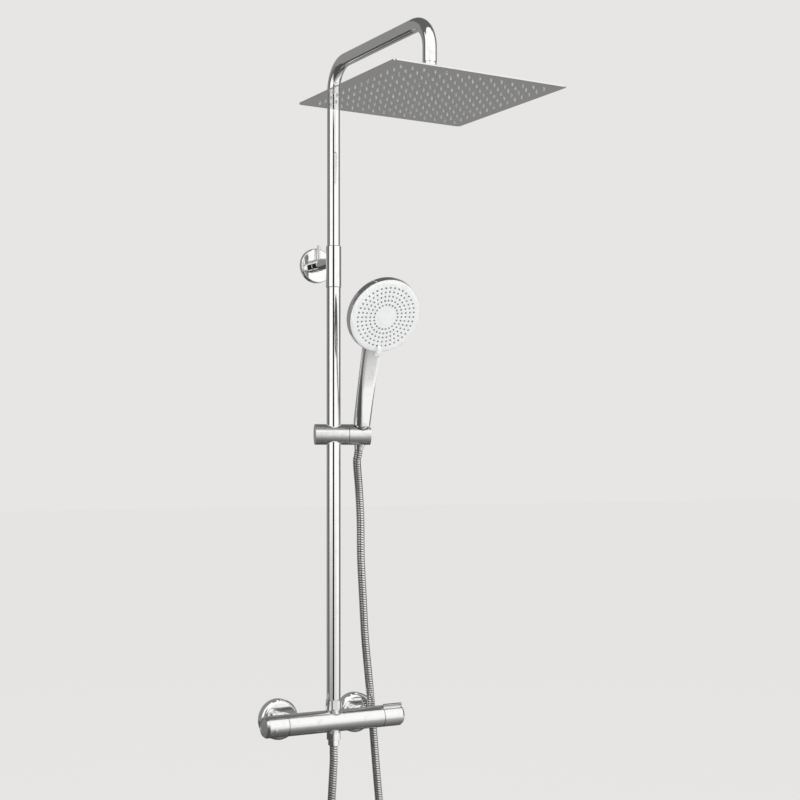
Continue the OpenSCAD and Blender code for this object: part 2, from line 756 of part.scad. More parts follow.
module ball_stud() color(chrome) at_drop() difference() {
    union() {
        translate([0, 0, ball_z]) sphere(d = ball_d);
        rod(neck_ball_d, ball_z, stud_foot + over);
        cone(neck_ball_d + 4, stud_d, stud_foot, stud_foot + 3);
        rod(stud_d, stud_foot + 3, stud_top);
    }
    rod(tip_d + play, drop_foot - tip_l - 0.1, stud_top + over);
    rod(6, ball_z - ball_d, drop_foot);
}

module ball_seat() color(plastic) at_drop() intersection() {
    translate([0, 0, ball_z]) difference() {
        sphere(d = ball_d + 2 * seat_t + fit / 2);
        sphere(d = ball_d + fit);
    }
    rod(2 * ball_d, ball_z - 8, ball_z + 5);
}

module head_nut() color(chrome) at_drop() difference() {
    union() {
        rod(head_nut_d, cover_top + seat_gap, head_nut_top - 2);
        cone(head_nut_d, head_nut_d - 6, head_nut_top - 2, head_nut_top);
    }
    translate([0, 0, ball_z]) sphere(r = socket_sphere);
    rod(2 * socket_sphere, cover_top - over, ball_z);
    rod(neck_ball_d + 7, ball_z, head_nut_top + over);
}

module head_cover() color(chrome) at_drop() {
    rim_z = head_z + sheet;
    difference() {
        union() {
            translate([0, 0, rim_z]) linear_extrude(height = sheet)
                rounded_square(head_w, head_corner);
            translate([0, 0, rim_z]) linear_extrude(height = pan_h)
                rounded_square(pan_w, head_corner);
            rod(boss_d, cover_top - 0.5, boss_top);
        }
        translate([0, 0, rim_z - over]) linear_extrude(height = pan_h - sheet + over)
            rounded_square(pan_w - 2 * sheet, head_corner - sheet);
        rod(way_d - 1, rim_z, boss_top + over);
    }
}

module nozzle_grid(d) for (i = [0:head_rows - 1], j = [0:head_rows - 1])
    translate([i - (head_rows - 1) / 2, j - (head_rows - 1) / 2] * head_pitch) circle(d = d, $fn = 24);

module head_plate() color(chrome) at_drop() translate([0, 0, head_z])
    linear_extrude(height = sheet) difference() {
        rounded_square(head_w, head_corner);
        nozzle_grid(head_nozzle_d + fit);
    }

module head_nozzles() color(grey_rubber) at_drop() {
    translate([0, 0, head_z + sheet]) linear_extrude(height = mat_t)
        rounded_square(mat_w, head_corner - sheet);
    translate([0, 0, head_z - head_nozzle_h])
        linear_extrude(height = head_nozzle_h + sheet) nozzle_grid(head_nozzle_d);
}

// ---------- wall bracket, Z running from the wall into the room ----------
module bracket_plate() color(steel) at_bracket() difference() {
    rod(plate_d, 0, plate_t);
    for (side = [-1, 1]) translate([side * bracket_screws / 2, 0, 0])
        rod(bracket_hole_d, -over, plate_t + over);
    rod(socket_stud_d + play, -over, plate_t + over);
}

module bracket_flange() color(chrome) at_bracket() difference() {
    union() {
        rod(flange_d, 0, flange_h - 1.5);
        cone(flange_d, flange_d - 3, flange_h - 1.5, flange_h);
    }
    rod(flange_d - 2 * flange_wall, -over, flange_h - 1.5 - flange_wall);
    rod(socket_d + fit, 0, flange_h + over);
}

module bracket_socket() color(chrome) at_bracket() difference() {
    union() {
        rod(socket_stud_d, 0.5, plate_t + over);
        rod(socket_d, plate_t, socket_reach - 1);
        cone(socket_d, socket_d - 1.5, socket_reach - 1, socket_reach);
    }
    rod(shank_d + play, socket_reach - shank_l - 1, socket_reach + over);
    translate([0, 0, lock_pin_s]) to_wall() rod(lock_pin_d + fit, 0, socket_d);
}

module bracket_arm() color(chrome) difference() {
    at_bracket() {
        rod(shank_d, socket_reach - shank_l, socket_reach + 1);
        cone(arm_root_d, arm_tip_d, socket_reach + 0.2, wall_reach - collar_d / 4);
    }
    at_riser() difference() {
        rod(collar_d + fit, collar_z, collar_top);
        translate([0, 0, bracket_height]) to_wall() rod(stud_pin_d, 0, collar_d);
    }
    at_riser() rod(lower_d + 2 * fit, collar_z, collar_top);
}

module lock_pin() color(chrome) translate([0, -lock_pin_s, bracket_height]) {
    rod(lock_pin_d, shank_d / 2 + 0.1, lock_pin_h - 0.6);
    cone(lock_pin_d, lock_pin_d - 1.2, lock_pin_h - 0.6, lock_pin_h);
}

// ---------- slider ----------
module barrel(x0, x1) to_right() rod(barrel_d, x0, x1);

module slider_liner() color(plastic) at_slider() intersection() {
    pipe(liner_d, lower_d + fit, -barrel_d, barrel_d);
    to_right() rod(barrel_d - 0.4, -barrel_d, barrel_d);
}

module slider_body() color(chrome) at_slider() difference() {
    barrel(-clamp_reach, split_reach - 0.5);
    rod(bore_d, -barrel_d, barrel_d);
    to_left() {
        rod(pad_d + fit, 0, pad_back + 0.8);
        rod(sleeve_d + fit, 0, clamp_seat + over);
        rod(clamp_knob_d + 2 * fit, clamp_seat, clamp_reach + over);
    }
    to_right() rod(axle_d + play, 0, split_reach + over);
}

module clamp_knob() color(chrome) at_slider() to_left() difference() {
    union() {
        rod(clamp_knob_d, clamp_seat + seat_gap, clamp_reach - 0.5);
        cone(clamp_knob_d, clamp_knob_d - 1.6, clamp_reach - 0.5, clamp_reach + 0.3);
        rod(sleeve_d, sleeve_foot, clamp_seat + over);
    }
    rod(shoe_stud_d + fit, sleeve_foot - over, shoe_end + shoe_travel + 0.4);
    // grooves that give the fingers a hold
    for (i = [1:grip_grooves]) rotate([0, 0, i * 360 / grip_grooves])
        translate([clamp_knob_d / 2, 0, 0]) rod(2.4, clamp_reach - 1.5, clamp_reach + over);
}

module clamp_shoe() color(plastic) at_slider() difference() {
    to_left() {
        rod(pad_d, liner_d / 2 - 2, pad_back);
        rod(shoe_stud_d, pad_back - over, shoe_end);
    }
    rod(liner_d + 2 * fit, -barrel_d, barrel_d);
}

// the hose cone's diameter at a height along the handle
function cone_dia(s) = cone_d + cone_slope * s;
module tapered(extra, s0, s1) cone(cone_dia(s0) + extra, cone_dia(s1) + extra, s0, s1);
// the way out for the hose, beside the cone
module hose_slot() translate([0, -slot_w / 2, -barrel_d]) cube([barrel_d, slot_w, 2 * barrel_d]);

module holder() color(chrome) difference() {
    at_slider() difference() {
        barrel(split_reach + 0.5, holder_reach);
        to_right() {
            rod(axle_d + fit, split_reach, holder_reach / 2 + 10);
            rod(axle_head_d + 2 * fit, axle_head_x - 0.1, cone_reach);
        }
    }
    at_cone() {
        tapered(2 * holder_liner_t + fit, -barrel_d / 2 - 8, barrel_d / 2 + 8);
        hose_slot();
    }
}

module holder_liner() color(black_rubber) intersection() {
    at_cone() difference() {
        tapered(2 * holder_liner_t, -barrel_d / 2 - 6, barrel_d / 2 + 6);
        tapered(fit, -barrel_d / 2 - 8, barrel_d / 2 + 8);
        hose_slot();
    }
    at_slider() to_right() rod(barrel_d - 0.4, axle_head_x, holder_reach);
}

module holder_axle() color(steel) at_slider() to_right() difference() {
    union() {
        rod(axle_d, axle_root, axle_head_x);
        rod(axle_head_d, axle_head_x, axle_head_x + axle_head_t);
    }
    translate([0, 0, axle_head_x + 1]) cylinder(d = 5.8, h = axle_head_t, $fn = 6);
}

// ---------- hand shower ----------
module hose_cone() color(chrome) at_cone() difference() {
    tapered(0, cone_low, cone_high);
    rod(g_half_d + play, spigot_foot - 0.2, cone_high + over);
    rod(swivel_d + fit, cone_low - over, spigot_foot);
}

module upper_ferrule() color(chrome) at_cone() difference() {
    union() {
        rod(cone_ferrule_d, ferrule_foot, cone_low - seat_gap);
        rod(swivel_d, cone_low - seat_gap - over, spigot_foot - 1);
    }
    rod(hose_bore_d, ferrule_foot - over, spigot_foot);
}

// half the outline of the head's domed back: an ellipse arc from its rim to its axis
function dome(r, depth) = [for (a = [90:-7.5:0]) [r * sin(a), dome_rim - depth * cos(a)]];

module handle_form() intersection() {
    cone(handle_foot_w, handle_top_w, handle_foot, handle_end);
    translate([-handle_top_w, -handle_depth / 2, 0])
        cube([2 * handle_top_w, handle_depth, head_offset]);
}

module handset_shell() color(chrome) difference() {
    union() {
        at_handset() {
            handle_form();
            rod(g_half_d, spigot_foot, handle_foot + over);
        }
        at_face() rotate_extrude() polygon(concat(
            [[0, face_offset], [handset_d / 2 - 0.6, face_offset],
             [handset_d / 2, face_offset - 0.6]], dome(handset_d / 2, dome_depth)));
    }
    at_handset() rod(handle_bore_d, spigot_foot - over, handle_end - 6);
    at_face() {
        rotate_extrude() polygon(concat([[0, dome_rim + 0.1], [handset_d / 2 - shell_wall, dome_rim + 0.1]],
            dome(handset_d / 2 - shell_wall, dome_depth - shell_wall)));
        rod(face_d, dome_rim, face_offset + over);
        // the spray dial's tab runs in this slot
        intersection() {
            pipe(handset_d + 4, dial_d - 4, dial_back - 0.2, face_back);
            translate([0, 0, dial_back - 0.2]) linear_extrude(height = face_t + 4)
                polygon([[0, 0], [-handset_d * tan(dial_sweep + 7), -handset_d],
                    [handset_d * tan(dial_sweep + 7), -handset_d]]);
        }
    }
}

module ring_grid(d) for (ring = handset_rings, k = [0:ring[1] - 1])
    rotate([0, 0, 360 * k / ring[1]]) translate([ring[0], 0]) circle(d = d, $fn = 16);

module handset_face() color(plastic) at_face() translate([0, 0, face_back])
    linear_extrude(height = face_t) difference() {
        circle(d = face_d - play);
        ring_grid(handset_nozzle_d + fit);
    }

module handset_nozzles() color(grey_rubber) at_face() {
    rod(2 * handset_rings[ring_last][0] + 3 * handset_nozzle_d, face_back - mat_t, face_back);
    translate([0, 0, face_back]) linear_extrude(height = face_t + 0.6) ring_grid(handset_nozzle_d);
}

module spray_dial() color(plastic) at_face() {
    pipe(dial_d, dial_d / 2, dial_back, dial_back + dial_t);
    translate([-dial_w / 2, -tab_out, dial_back]) cube([dial_w, tab_out - dial_d / 2 + 3, dial_t]);
    // the lever turns up outside the rim and lies over the face's lower edge
    translate([-dial_w / 2, -tab_out, dial_back])
        cube([dial_w, tab_out - handset_d / 2 - 0.4, face_offset + tab_t - dial_back]);
    translate([-dial_w / 2, -tab_out, face_offset + 0.4])
        cube([dial_w, tab_out - tab_in, tab_t - 0.4]);
}

module restrictor() color(plastic) at_handset()
    pipe(handle_bore_d - play, way_d / 3, spigot_foot + 0.5, spigot_foot + 5);

// ---------- hose ----------
module hose_nut() color(chrome) at_riser() difference() {
    rod(hose_nut_d, -hose_nut_z, -bar_d / 2 - seat_gap);
    rod(g_half_d + play, -bar_d / 2 - spigot_l - washer_t, -bar_d / 2 + over);
    rod(ferrule_d - 3 + fit, -hose_nut_z - over, -bar_d / 2 - spigot_l - washer_t + 0.1);
}

module lower_ferrule() color(chrome) at_riser() difference() {
    union() {
        rod(ferrule_d, hose_exit_z, -hose_nut_z - seat_gap);
        rod(ferrule_d - 3, -hose_nut_z - seat_gap - over, -bar_d / 2 - spigot_l - washer_t);
    }
    rod(hose_bore_d, hose_exit_z - over, -bar_d / 2);
}

module hose() color(steel) swept(curve(hose_route, 2), hose_d / 2, 10, [0, 1, 0]);

valve_body();
inlet_nipples();
check_valves();
union_nuts();
seal_washers();
wall_unions();
roses();
thermostatic_cartridge();
regulator_sleeve();
temperature_spindle();
cartridge_nuts();
stop_rings();
temperature_knob();
temperature_hub();
temperature_cap();
temperature_screw();
safety_button();
safety_spring();
flow_cartridge();
ceramic_disc();
flow_spindle();
flow_knob();
flow_hub();
flow_cap();
flow_screw();
riser_tail();
riser_nut();
lower_riser();
riser_collar();
collar_screw();
guide_bush();
shower_arm();
ball_stud();
ball_seat();
head_nut();
head_cover();
head_plate();
head_nozzles();
bracket_plate();
bracket_flange();
bracket_socket();
bracket_arm();
lock_pin();
slider_liner();
slider_body();
clamp_knob();
clamp_shoe();
holder();
holder_liner();
holder_axle();
hose_cone();
handset_shell();
handset_face();
handset_nozzles();
spray_dial();
restrictor();
hose_nut();
lower_ferrule();
upper_ferrule();
hose();
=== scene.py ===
# %% [markdown]
# # Rainfall shower column
#
# This notebook dresses the packed model of a wall-hung shower column: a bar
# mixer, a telescopic riser with an arm and a square overhead spray, and a
# slider that holds a hand shower on its hose. The packed pieces already have
# the right size and place. They keep both, and each step here gives one piece
# or one finish its real surface. Everything is in metres, with the wall at
# y = 0, the room towards -y and z upwards.

# %% Load the packed column
import json
import math

import bmesh
import bpy
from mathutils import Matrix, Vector


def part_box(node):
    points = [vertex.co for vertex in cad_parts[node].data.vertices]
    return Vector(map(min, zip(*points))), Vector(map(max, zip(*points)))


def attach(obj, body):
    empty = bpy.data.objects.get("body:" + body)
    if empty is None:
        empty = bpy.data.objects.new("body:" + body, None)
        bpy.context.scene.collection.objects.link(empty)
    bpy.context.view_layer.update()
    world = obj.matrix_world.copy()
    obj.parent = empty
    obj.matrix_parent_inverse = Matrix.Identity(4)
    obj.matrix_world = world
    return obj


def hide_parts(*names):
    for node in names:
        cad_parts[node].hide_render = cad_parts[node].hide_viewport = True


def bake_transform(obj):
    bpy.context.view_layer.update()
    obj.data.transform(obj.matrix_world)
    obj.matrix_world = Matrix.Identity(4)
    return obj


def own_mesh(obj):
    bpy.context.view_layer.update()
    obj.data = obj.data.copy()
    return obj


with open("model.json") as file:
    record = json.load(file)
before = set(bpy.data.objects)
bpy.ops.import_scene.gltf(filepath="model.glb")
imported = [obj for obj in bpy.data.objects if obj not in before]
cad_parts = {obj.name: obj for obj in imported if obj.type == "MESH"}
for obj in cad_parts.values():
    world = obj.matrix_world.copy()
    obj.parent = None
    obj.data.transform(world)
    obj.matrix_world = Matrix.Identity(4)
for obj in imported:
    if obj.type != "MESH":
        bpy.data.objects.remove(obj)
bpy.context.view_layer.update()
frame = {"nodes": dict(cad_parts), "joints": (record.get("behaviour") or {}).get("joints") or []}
nodes = frame["nodes"]
joints = {joint["name"]: joint for joint in frame["joints"]}

# %% [markdown]
# ## Measures from the frame
#
# A place is never typed twice. A piece that is rebuilt here reads where it sits
# from the box of the packed node that it replaces, or from the joint that it
# turns on. Only the small sizes of its outline are written where it is made.

# %% Boxes, centres and axes
MM = 0.001
RIGHT, UP, ROOM = Vector((1, 0, 0)), Vector((0, 0, 1)), Vector((0, -1, 0))


def centre(node):
    low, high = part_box(node)
    return (low + high) / 2


def span(node, axis):
    low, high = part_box(node)
    return high[axis] - low[axis]


def joint_axis(name):
    return Vector(joints[name]["axis"]).normalized()


def blend_of(a, b, t):
    """The value a share t of the way from a to b."""
    return a + (b - a) * t


riser_x, riser_y = centre("lower_riser")[:2]
print("riser axis at", round(riser_x, 4), round(riser_y, 4))

# %% [markdown]
# ## Camera
#
# The column is seen from the left and from the room, by someone who looks
# level and straight ahead. The lens is a long one, so the uprights stay
# parallel, and a small upward shift of the frame takes in the overhead spray
# without tilting the camera.

# %% Camera
def add_to_scene(name, data):
    """An object that shows a mesh, a lamp or a camera."""
    thing = bpy.data.objects.new(name, data)
    bpy.context.scene.collection.objects.link(thing)
    return thing


view_yaw = math.radians(30.5)
ahead = Vector((math.sin(view_yaw), math.cos(view_yaw), 0))
to_the_right = Vector((math.cos(view_yaw), -math.sin(view_yaw), 0))
eye_height, distance, aside = 0.4369, 2.55, 0.1139

lens = bpy.data.cameras.new("camera")
lens.sensor_width = 36
lens.lens = 66.9
lens.shift_y = 0.0825
camera = add_to_scene("camera", lens)
camera.location = Vector((riser_x, riser_y, eye_height)) - ahead * distance + to_the_right * aside
camera.rotation_euler = (math.pi / 2, 0, -view_yaw)
bpy.context.scene.camera = camera
bpy.context.scene.view_settings.view_transform = "Standard"
print("camera at", [round(c, 3) for c in camera.location])

# %% [markdown]
# ## Making a piece
#
# Every rebuilt piece is a mesh. It can be modelled by hand, but a mesh that is
# made from lists of points and faces follows its measures, and can be read
# here. One function turns such lists into an object, smooths it, puts it on the
# body that it moves with, and hides the packed node that it stands for. Edges
# that are meant to be crisp stay sharp, because shading is only smoothed below
# a given angle.

# %% Turn points and faces into a piece
WELD, SLIVER = 2e-6, 1e-6


def crisp_edges(work, angle):
    """The edges where two faces meet at more than an angle in degrees."""
    return [edge for edge in work.edges
            if len(edge.link_faces) == 2 and edge.calc_face_angle() > math.radians(angle)]


def show(work, mesh, name, body, replaces, sharp):
    """Smooths a mesh below an angle, and shows it on a body in the place of packed nodes."""
    for face in work.faces:
        face.smooth = True
    for edge in crisp_edges(work, sharp):
        edge.smooth = False
    work.to_mesh(mesh)
    work.free()
    piece = add_to_scene(name, mesh)
    if body:
        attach(piece, body)
    if replaces:
        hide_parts(*replaces)
    return piece


def new_piece(name, points, faces, body, replaces=(), sharp=35, second=()):
    """A piece from points and faces. The faces numbered in second get its second finish."""
    mesh = bpy.data.meshes.new(name)
    mesh.from_pydata([tuple(p) for p in points], [], faces)
    for number in second:
        mesh.polygons[number].material_index = 1
    work = bmesh.new()
    work.from_mesh(mesh)
    bmesh.ops.remove_doubles(work, verts=work.verts, dist=WELD)
    bmesh.ops.dissolve_degenerate(work, edges=work.edges, dist=SLIVER)
    bmesh.ops.recalc_face_normals(work, faces=work.faces)
    return show(work, mesh, name, body, replaces, sharp)


print("points closer than", WELD, "m are one")

# %% [markdown]
# ## Hose
#
# The hose is 1.5 m of metal hose, 14 mm thick: a steel strip wound into a
# helix with interlocked edges, over a rubber tube. It leaves the ferrule under
# the bar, hangs in a loop and climbs to the hand shower. The loop's points are
# the ones that the model was built with. A plain tube with a striped bump
# would show a flat silhouette, so the strip is wound here as a real surface:
# one profile across the strip, repeated turn by turn along the curve. The
# groove between two turns gets a black rubber finish of its own: partly the
# rubber tube that shows there, and partly painted shade for the dark deep in
# the groove.
# The hose hangs between the wall and the slider, and rides on no body: it
# keeps its place when the slider moves.

# %% The hose's route, in millimetres
tilt_at = Vector(joints["holder_tilt"]["pos_m"]) * 1000
into_handset = joint_axis("hand_shower_turn")
hose_top = -26.6
# the last points go straight into the hand shower's cone
hose_end = [tilt_at + into_handset * (hose_top - back) for back in (26, 13, 0)]
hose_route = [
    (0, -70, -41.5), (0, -70, -56.5), (0, -70, -71.5),
    (-3, -69, -130), (-6, -67, -200), (-7, -64, -280), (-6, -60, -350), (-1, -56, -405),
    (13, -51, -446), (33, -47, -470), (57, -45, -478), (81, -42, -470), (101, -39, -446),
    (114, -37, -405), (119, -35, -345), (119, -32, -270), (116, -29, -190),
    (109, -26, -100), (101, -25, -5), (89, -34, 65), (79, -39, 135), (73, -42, 205),
    (68, -44, 275), (66, -46, 340), (61, -50, 392),
]
hose_route = [Vector(p) * MM for p in hose_route] + [p * MM for p in hose_end]


def between(a, b, c, d, t):
    """The value a share t of the way from b to c, on a smooth curve through all four."""
    return 0.5 * (2 * b + (c - a) * t + (2 * a - 5 * b + 4 * c - d) * t * t
                  + (3 * b - a - 3 * c + d) * t ** 3)


def four_near(rows, i):
    """The rows before, at and after a stretch of the curve. The ends stand for what lies past them."""
    return [rows[max(0, min(k, len(rows) - 1))] for k in (i - 1, i, i + 1, i + 2)]


def smooth_route(points, steps):
    """A curve through all the points, in even steps between each two."""
    line = [between(*four_near(points, i), k / steps)
            for i in range(len(points) - 1) for k in range(steps)]
    return line + [points[-1]]


class Track:
    """A curve that can be asked for its place and directions at any length along it."""

    def __init__(self, line, reference):
        self.line = line
        self.marks = [0.0]
        for a, b in zip(line, line[1:]):
            self.marks.append(self.marks[-1] + (b - a).length)
        self.length = self.marks[-1]
        self.reference = reference
        self.piece = 0

    def at(self, s):
        s = min(max(s, 0.0), self.length)
        while self.piece > 0 and self.marks[self.piece] > s:
            self.piece -= 1
        while self.piece < len(self.line) - 2 and self.marks[self.piece + 1] < s:
            self.piece += 1
        i = self.piece
        t = (s - self.marks[i]) / (self.marks[i + 1] - self.marks[i])
        before = self.line[i] - self.line[max(i - 1, 0)]
        here = self.line[i + 1] - self.line[i]
        after = self.line[min(i + 2, len(self.line) - 1)] - self.line[i + 1]
        before = before if before.length else here
        after = after if after.length else here
        start = before.normalized() + here.normalized()
        end = here.normalized() + after.normalized()
        forward = start.normalized().lerp(end.normalized(), t).normalized()
        side = forward.cross(self.reference).normalized()
        return self.line[i].lerp(self.line[i + 1], t), side, side.cross(forward)


hose_line = smooth_route(hose_route, steps=12)
hose_track = Track(hose_line, Vector((0, 1, 0)))
print("hose length", round(hose_track.length, 4), "m")

# %% Wind the strip
strip_pitch = 4.2 * MM
# share of the pitch, and radius in millimetres
strip_profile = [(0.00, 6.2), (0.03, 6.75), (0.07, 6.96), (0.11, 7.0), (0.17, 7.0), (0.58, 7.0),
                 (0.64, 6.98), (0.69, 6.85), (0.73, 6.4), (0.75, 6.0), (0.98, 6.0)]


def wound_hose(track, pitch, profile, around):
    """Points and faces of the strip, and the numbers of the faces at its groove's bottom."""
    turns = math.ceil(track.length / pitch) + 1
    points = []
    for n in range(turns * around):
        angle = 2 * math.pi * n / around
        for share, radius in profile:
            centre_point, side, up = track.at((n / around - 1 + share) * pitch)
            out = side * math.cos(angle) + up * math.sin(angle)
            points.append(centre_point + out * radius * MM)
    rows = len(profile)
    faces, groove = [], []
    for n in range(turns * around - 1):
        for j in range(rows - 1):
            a, b = n * rows + j, (n + 1) * rows + j
            if j == rows - 2:
                groove.append(len(faces))
            faces.append((a, a + 1, b + 1, b))
        if n + around + 1 < turns * around:
            a, b = n * rows + rows - 1, (n + around) * rows
            faces.append((a, b, b + rows, a + rows))
    return points, faces, groove


hose_points, hose_faces, hose_groove = wound_hose(hose_track, strip_pitch, strip_profile, around=24)
hose = new_piece("hose", hose_points, hose_faces, None, ["hose"], sharp=50, second=hose_groove)
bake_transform(hose)
print("hose:", len(hose.data.polygons), "faces in", round(hose_track.length / strip_pitch), "turns")

# %% [markdown]
# ## Studio
#
# Chrome shows the room and not itself, so the studio is most of its look. The
# lamps light the floor and the white plastic. What the metal mirrors is a ring
# of plain cards round the column: two tall white ones with a dark slot between
# them draw the bright bands and the dark line down the tubes, a white one
# overhead draws the top of the bar, and grey ones behind give the tubes their
# edges. A picture of a bathroom round the scene would do as well, but a plain
# card can stand exactly where a tube needs its light. The cards are hidden from
# the camera and cast no shadow.
#
# Their tones, like every finish here, are shader nodes. A formula in nodes is
# hard to read, so one small class wraps a node's output. Sums and products of
# such values then read like sums, and each adds its own Math node.

# %% Shader helper: sockets that can be added and multiplied
class Value:
    """The output of a shader node. Sums and products of values add Math nodes."""

    def __init__(self, finish, socket):
        self.finish = finish
        self.socket = socket

    def math(self, operation, first, second):
        return self.finish.node("ShaderNodeMath", {"operation": operation}, {0: first, 1: second})

    def __add__(self, other): return self.math("ADD", self, other)
    def __radd__(self, other): return self.math("ADD", other, self)
    def __mul__(self, other): return self.math("MULTIPLY", self, other)
    def __rmul__(self, other): return self.math("MULTIPLY", other, self)

    def between(self, low, high):
        """0 below low, 1 above high, and smooth between them."""
        return self.finish.node("ShaderNodeMapRange", {"interpolation_type": "SMOOTHSTEP"},
                                {"Value": self, "From Min": low, "From Max": high})


print("operators on values:", [name for name in vars(Value) if name.endswith(("add__", "mul__"))])


# %% Shader helper: a node tree in the making
class Finish:
    """A node tree in the making, for a material or for the world."""

    def __init__(self, owner):
        owner.use_nodes = True
        self.owner = owner
        self.tree = owner.node_tree
        self.tree.nodes.clear()

    def node(self, kind, settings=None, inputs=None, output=0):
        """Adds a node. The setting "stops" fills a ramp. Inputs take numbers, colours or values."""
        made = self.tree.nodes.new(kind)
        for key, setting in (settings or {}).items():
            if key == "stops":
                ramp = made.color_ramp
                while len(ramp.elements) < len(setting):
                    ramp.elements.new(0.5)
                for element, (place, colour) in zip(ramp.elements, setting):
                    element.position = place
                    element.color = (*colour, 1)
            else:
                setattr(made, key, setting)
        for key, value in (inputs or {}).items():
            if isinstance(value, Value):
                self.tree.links.new(value.socket, made.inputs[key])
            else:
                made.inputs[key].default_value = value
        return Value(self, made.outputs[output])

    def end(self, shader, kind="ShaderNodeOutputMaterial"):
        """Gives the shader to the output and returns the material or world."""
        self.tree.links.new(shader.socket, self.tree.nodes.new(kind).inputs["Surface"])
        return self.owner


def own_place(finish):
    """Where a point lies in the piece's own space."""
    return finish.node("ShaderNodeTexCoord", output="Object")


def ramp(finish, share, stops):
    """A colour by a value from 0 to 1, through (value, colour) stops."""
    return finish.node("ShaderNodeValToRGB", {"stops": stops}, {"Fac": share}, "Color")


def even_light(finish, colour):
    return finish.node("ShaderNodeEmission", {}, {"Color": colour, "Strength": 1.0})


def warm(tone):
    """A grey of a brightness, with the slight warmth of a lit wall."""
    return tone, 0.99 * tone, 0.97 * tone


print("warm white is", warm(1.0))


# %% A card that only the metal sees
def card_share(height):
    """A card's ramp starts 1 m under the bar, at 0, and ends 4 m over it, at 1."""
    return (height + 1) * 0.2


def glow(name, stops):
    """A card's brightness, as (height, tone) stops."""
    finish = Finish(bpy.data.materials.new(name))
    height = finish.node("ShaderNodeSeparateXYZ", {}, {"Vector": own_place(finish)}, "Z")
    colour = ramp(finish, card_share(height), [(card_share(z), warm(tone)) for z, tone in stops])
    return finish.end(even_light(finish, colour))


hidden_from = ("visible_camera", "visible_diffuse", "visible_shadow", "visible_volume_scatter")


def only_in_reflections(card, stops):
    card.data.materials.append(glow(card.name + "_tone", stops))
    for seen_by in hidden_from:
        setattr(card, seen_by, False)


def flat_sheet(name, corners):
    """A strip of four-cornered faces. Every two corners after the first two add a face."""
    mesh = bpy.data.meshes.new(name)
    faces = [(0, 1, 2, 3)] if len(corners) == 4 else [
        (k, k + 2, k + 3, k + 1) for k in range(0, len(corners) - 2, 2)]
    mesh.from_pydata([tuple(c) for c in corners], [], faces)
    return add_to_scene(name, mesh)


print("cards are switched off for", len(hidden_from), "kinds of ray")

# %% Cards round the column
card_distance, card_foot, card_top, half_room = 3.0, 0.54, 3.4, 3.2
degrees_to_a_face = 6
middle = Vector((riser_x, riser_y, 0))


def standing_card(name, start, end, stops):
    """A card bent round the column between two bearings. Bearing 0 is where the camera stands."""
    steps = max(2, round(abs(end - start) / degrees_to_a_face))
    points = []
    for k in range(steps + 1):
        bearing = math.radians(start + (end - start) * k / steps)
        spot = (middle - ahead * card_distance * math.cos(bearing)
                + to_the_right * card_distance * math.sin(bearing))
        points += [spot - UP * card_foot, spot + UP * card_top]
    only_in_reflections(flat_sheet(name, points), stops)


def hanging_card(name, front, back, tone):
    """A level card over the room, between two distances from the wall."""
    corners = [(x, y, card_top) for x, y in (
        (-half_room, front), (half_room, front), (half_room, back), (-half_room, back))]
    only_in_reflections(flat_sheet(name, corners), [(0, tone), (1, tone)])


white, shade, dim, dark = 1.1, 0.27, 0.13, 0.02
# the bearings of a card's two edges in degrees, and its brightness as (height, tone) stops
cards = {
    "left": (-68, -12, [(-0.5, 0.34), (0.0, 0.7), (0.4, white)]),
    "right": (14, 52, [(-0.5, 0.75), (0.0, 0.85), (0.4, white)]),
    "slot": (-12, 14, [(1.7, dark), (1.8, white)]),
    "far_right": (52, 102, [(-0.5, 0.85), (0.0, white)]),
    "right_side": (102, 130, [(0, dim), (1, dim)]),
    "back": (130, 262, [(0, shade), (1, shade)]),
    "left_side": (262, 292, [(0, dim), (1, dim)]),
}
for name, card in cards.items():
    standing_card("card_" + name, *card)
hanging_card("card_above", front=-3.4, back=-0.9, tone=white)
hanging_card("card_above_back", front=-0.9, back=3.4, tone=dim)

# %% [markdown]
# The floor is one pale sheet. To the camera it almost fades into the backdrop,
# so that no strong horizon crosses the picture. One even tone would do for the
# camera, but not for chrome: in the metal the floor has a dark middle and a
# bright rim, because the underside of the bar and of the slider look down into
# a shaded corner, while the front of the hand shower's handle looks out on to
# the lit floor of the room.

# %% Floor and background
floor_drop, floor_half, ramp_reach = 0.56, 30, 2
backdrop_tone = (0.80, 0.79, 0.775, 1)
# how much of the backdrop's tone the camera sees in the floor, so that shadows stay faint
backdrop_share = 0.95
into_the_room = (0.70, -0.71, 0)
# distance into the room in metres, and brightness in the metal
lit_by_distance = [(0.05, 0.08), (0.3, 0.13), (0.6, 0.25), (0.9, 0.4), (1.35, 0.48), (1.6, 0.74),
                   (1.9, 1.0)]


def rays(finish, kind):
    return finish.node("ShaderNodeLightPath", output=f"Is {kind} Ray")


floor_tree = Finish(bpy.data.materials.new("pale_floor"))
floor_coat = floor_tree.node("ShaderNodeBsdfPrincipled", {}, {
    "Base Color": backdrop_tone, "Roughness": 0.8})
seen_floor = floor_tree.node("ShaderNodeMixShader", {}, {
    0: backdrop_share * rays(floor_tree, "Camera"), 1: floor_coat,
    2: even_light(floor_tree, backdrop_tone)})
far_off = floor_tree.node("ShaderNodeVectorMath", {"operation": "DOT_PRODUCT"}, {
    0: own_place(floor_tree), 1: into_the_room}, "Value")
floor_in_metal = ramp(floor_tree, far_off * (1 / ramp_reach),
                      [(away / ramp_reach, warm(tone)) for away, tone in lit_by_distance])
floor = flat_sheet("floor", [(x * floor_half, y * floor_half, 0)
                             for x, y in ((-1, -1), (1, -1), (1, 1), (-1, 1))])
floor.location.z = -floor_drop
floor.data.materials.append(floor_tree.end(floor_tree.node("ShaderNodeMixShader", {}, {
    0: rays(floor_tree, "Glossy"), 1: seen_floor, 2: even_light(floor_tree, floor_in_metal)})))

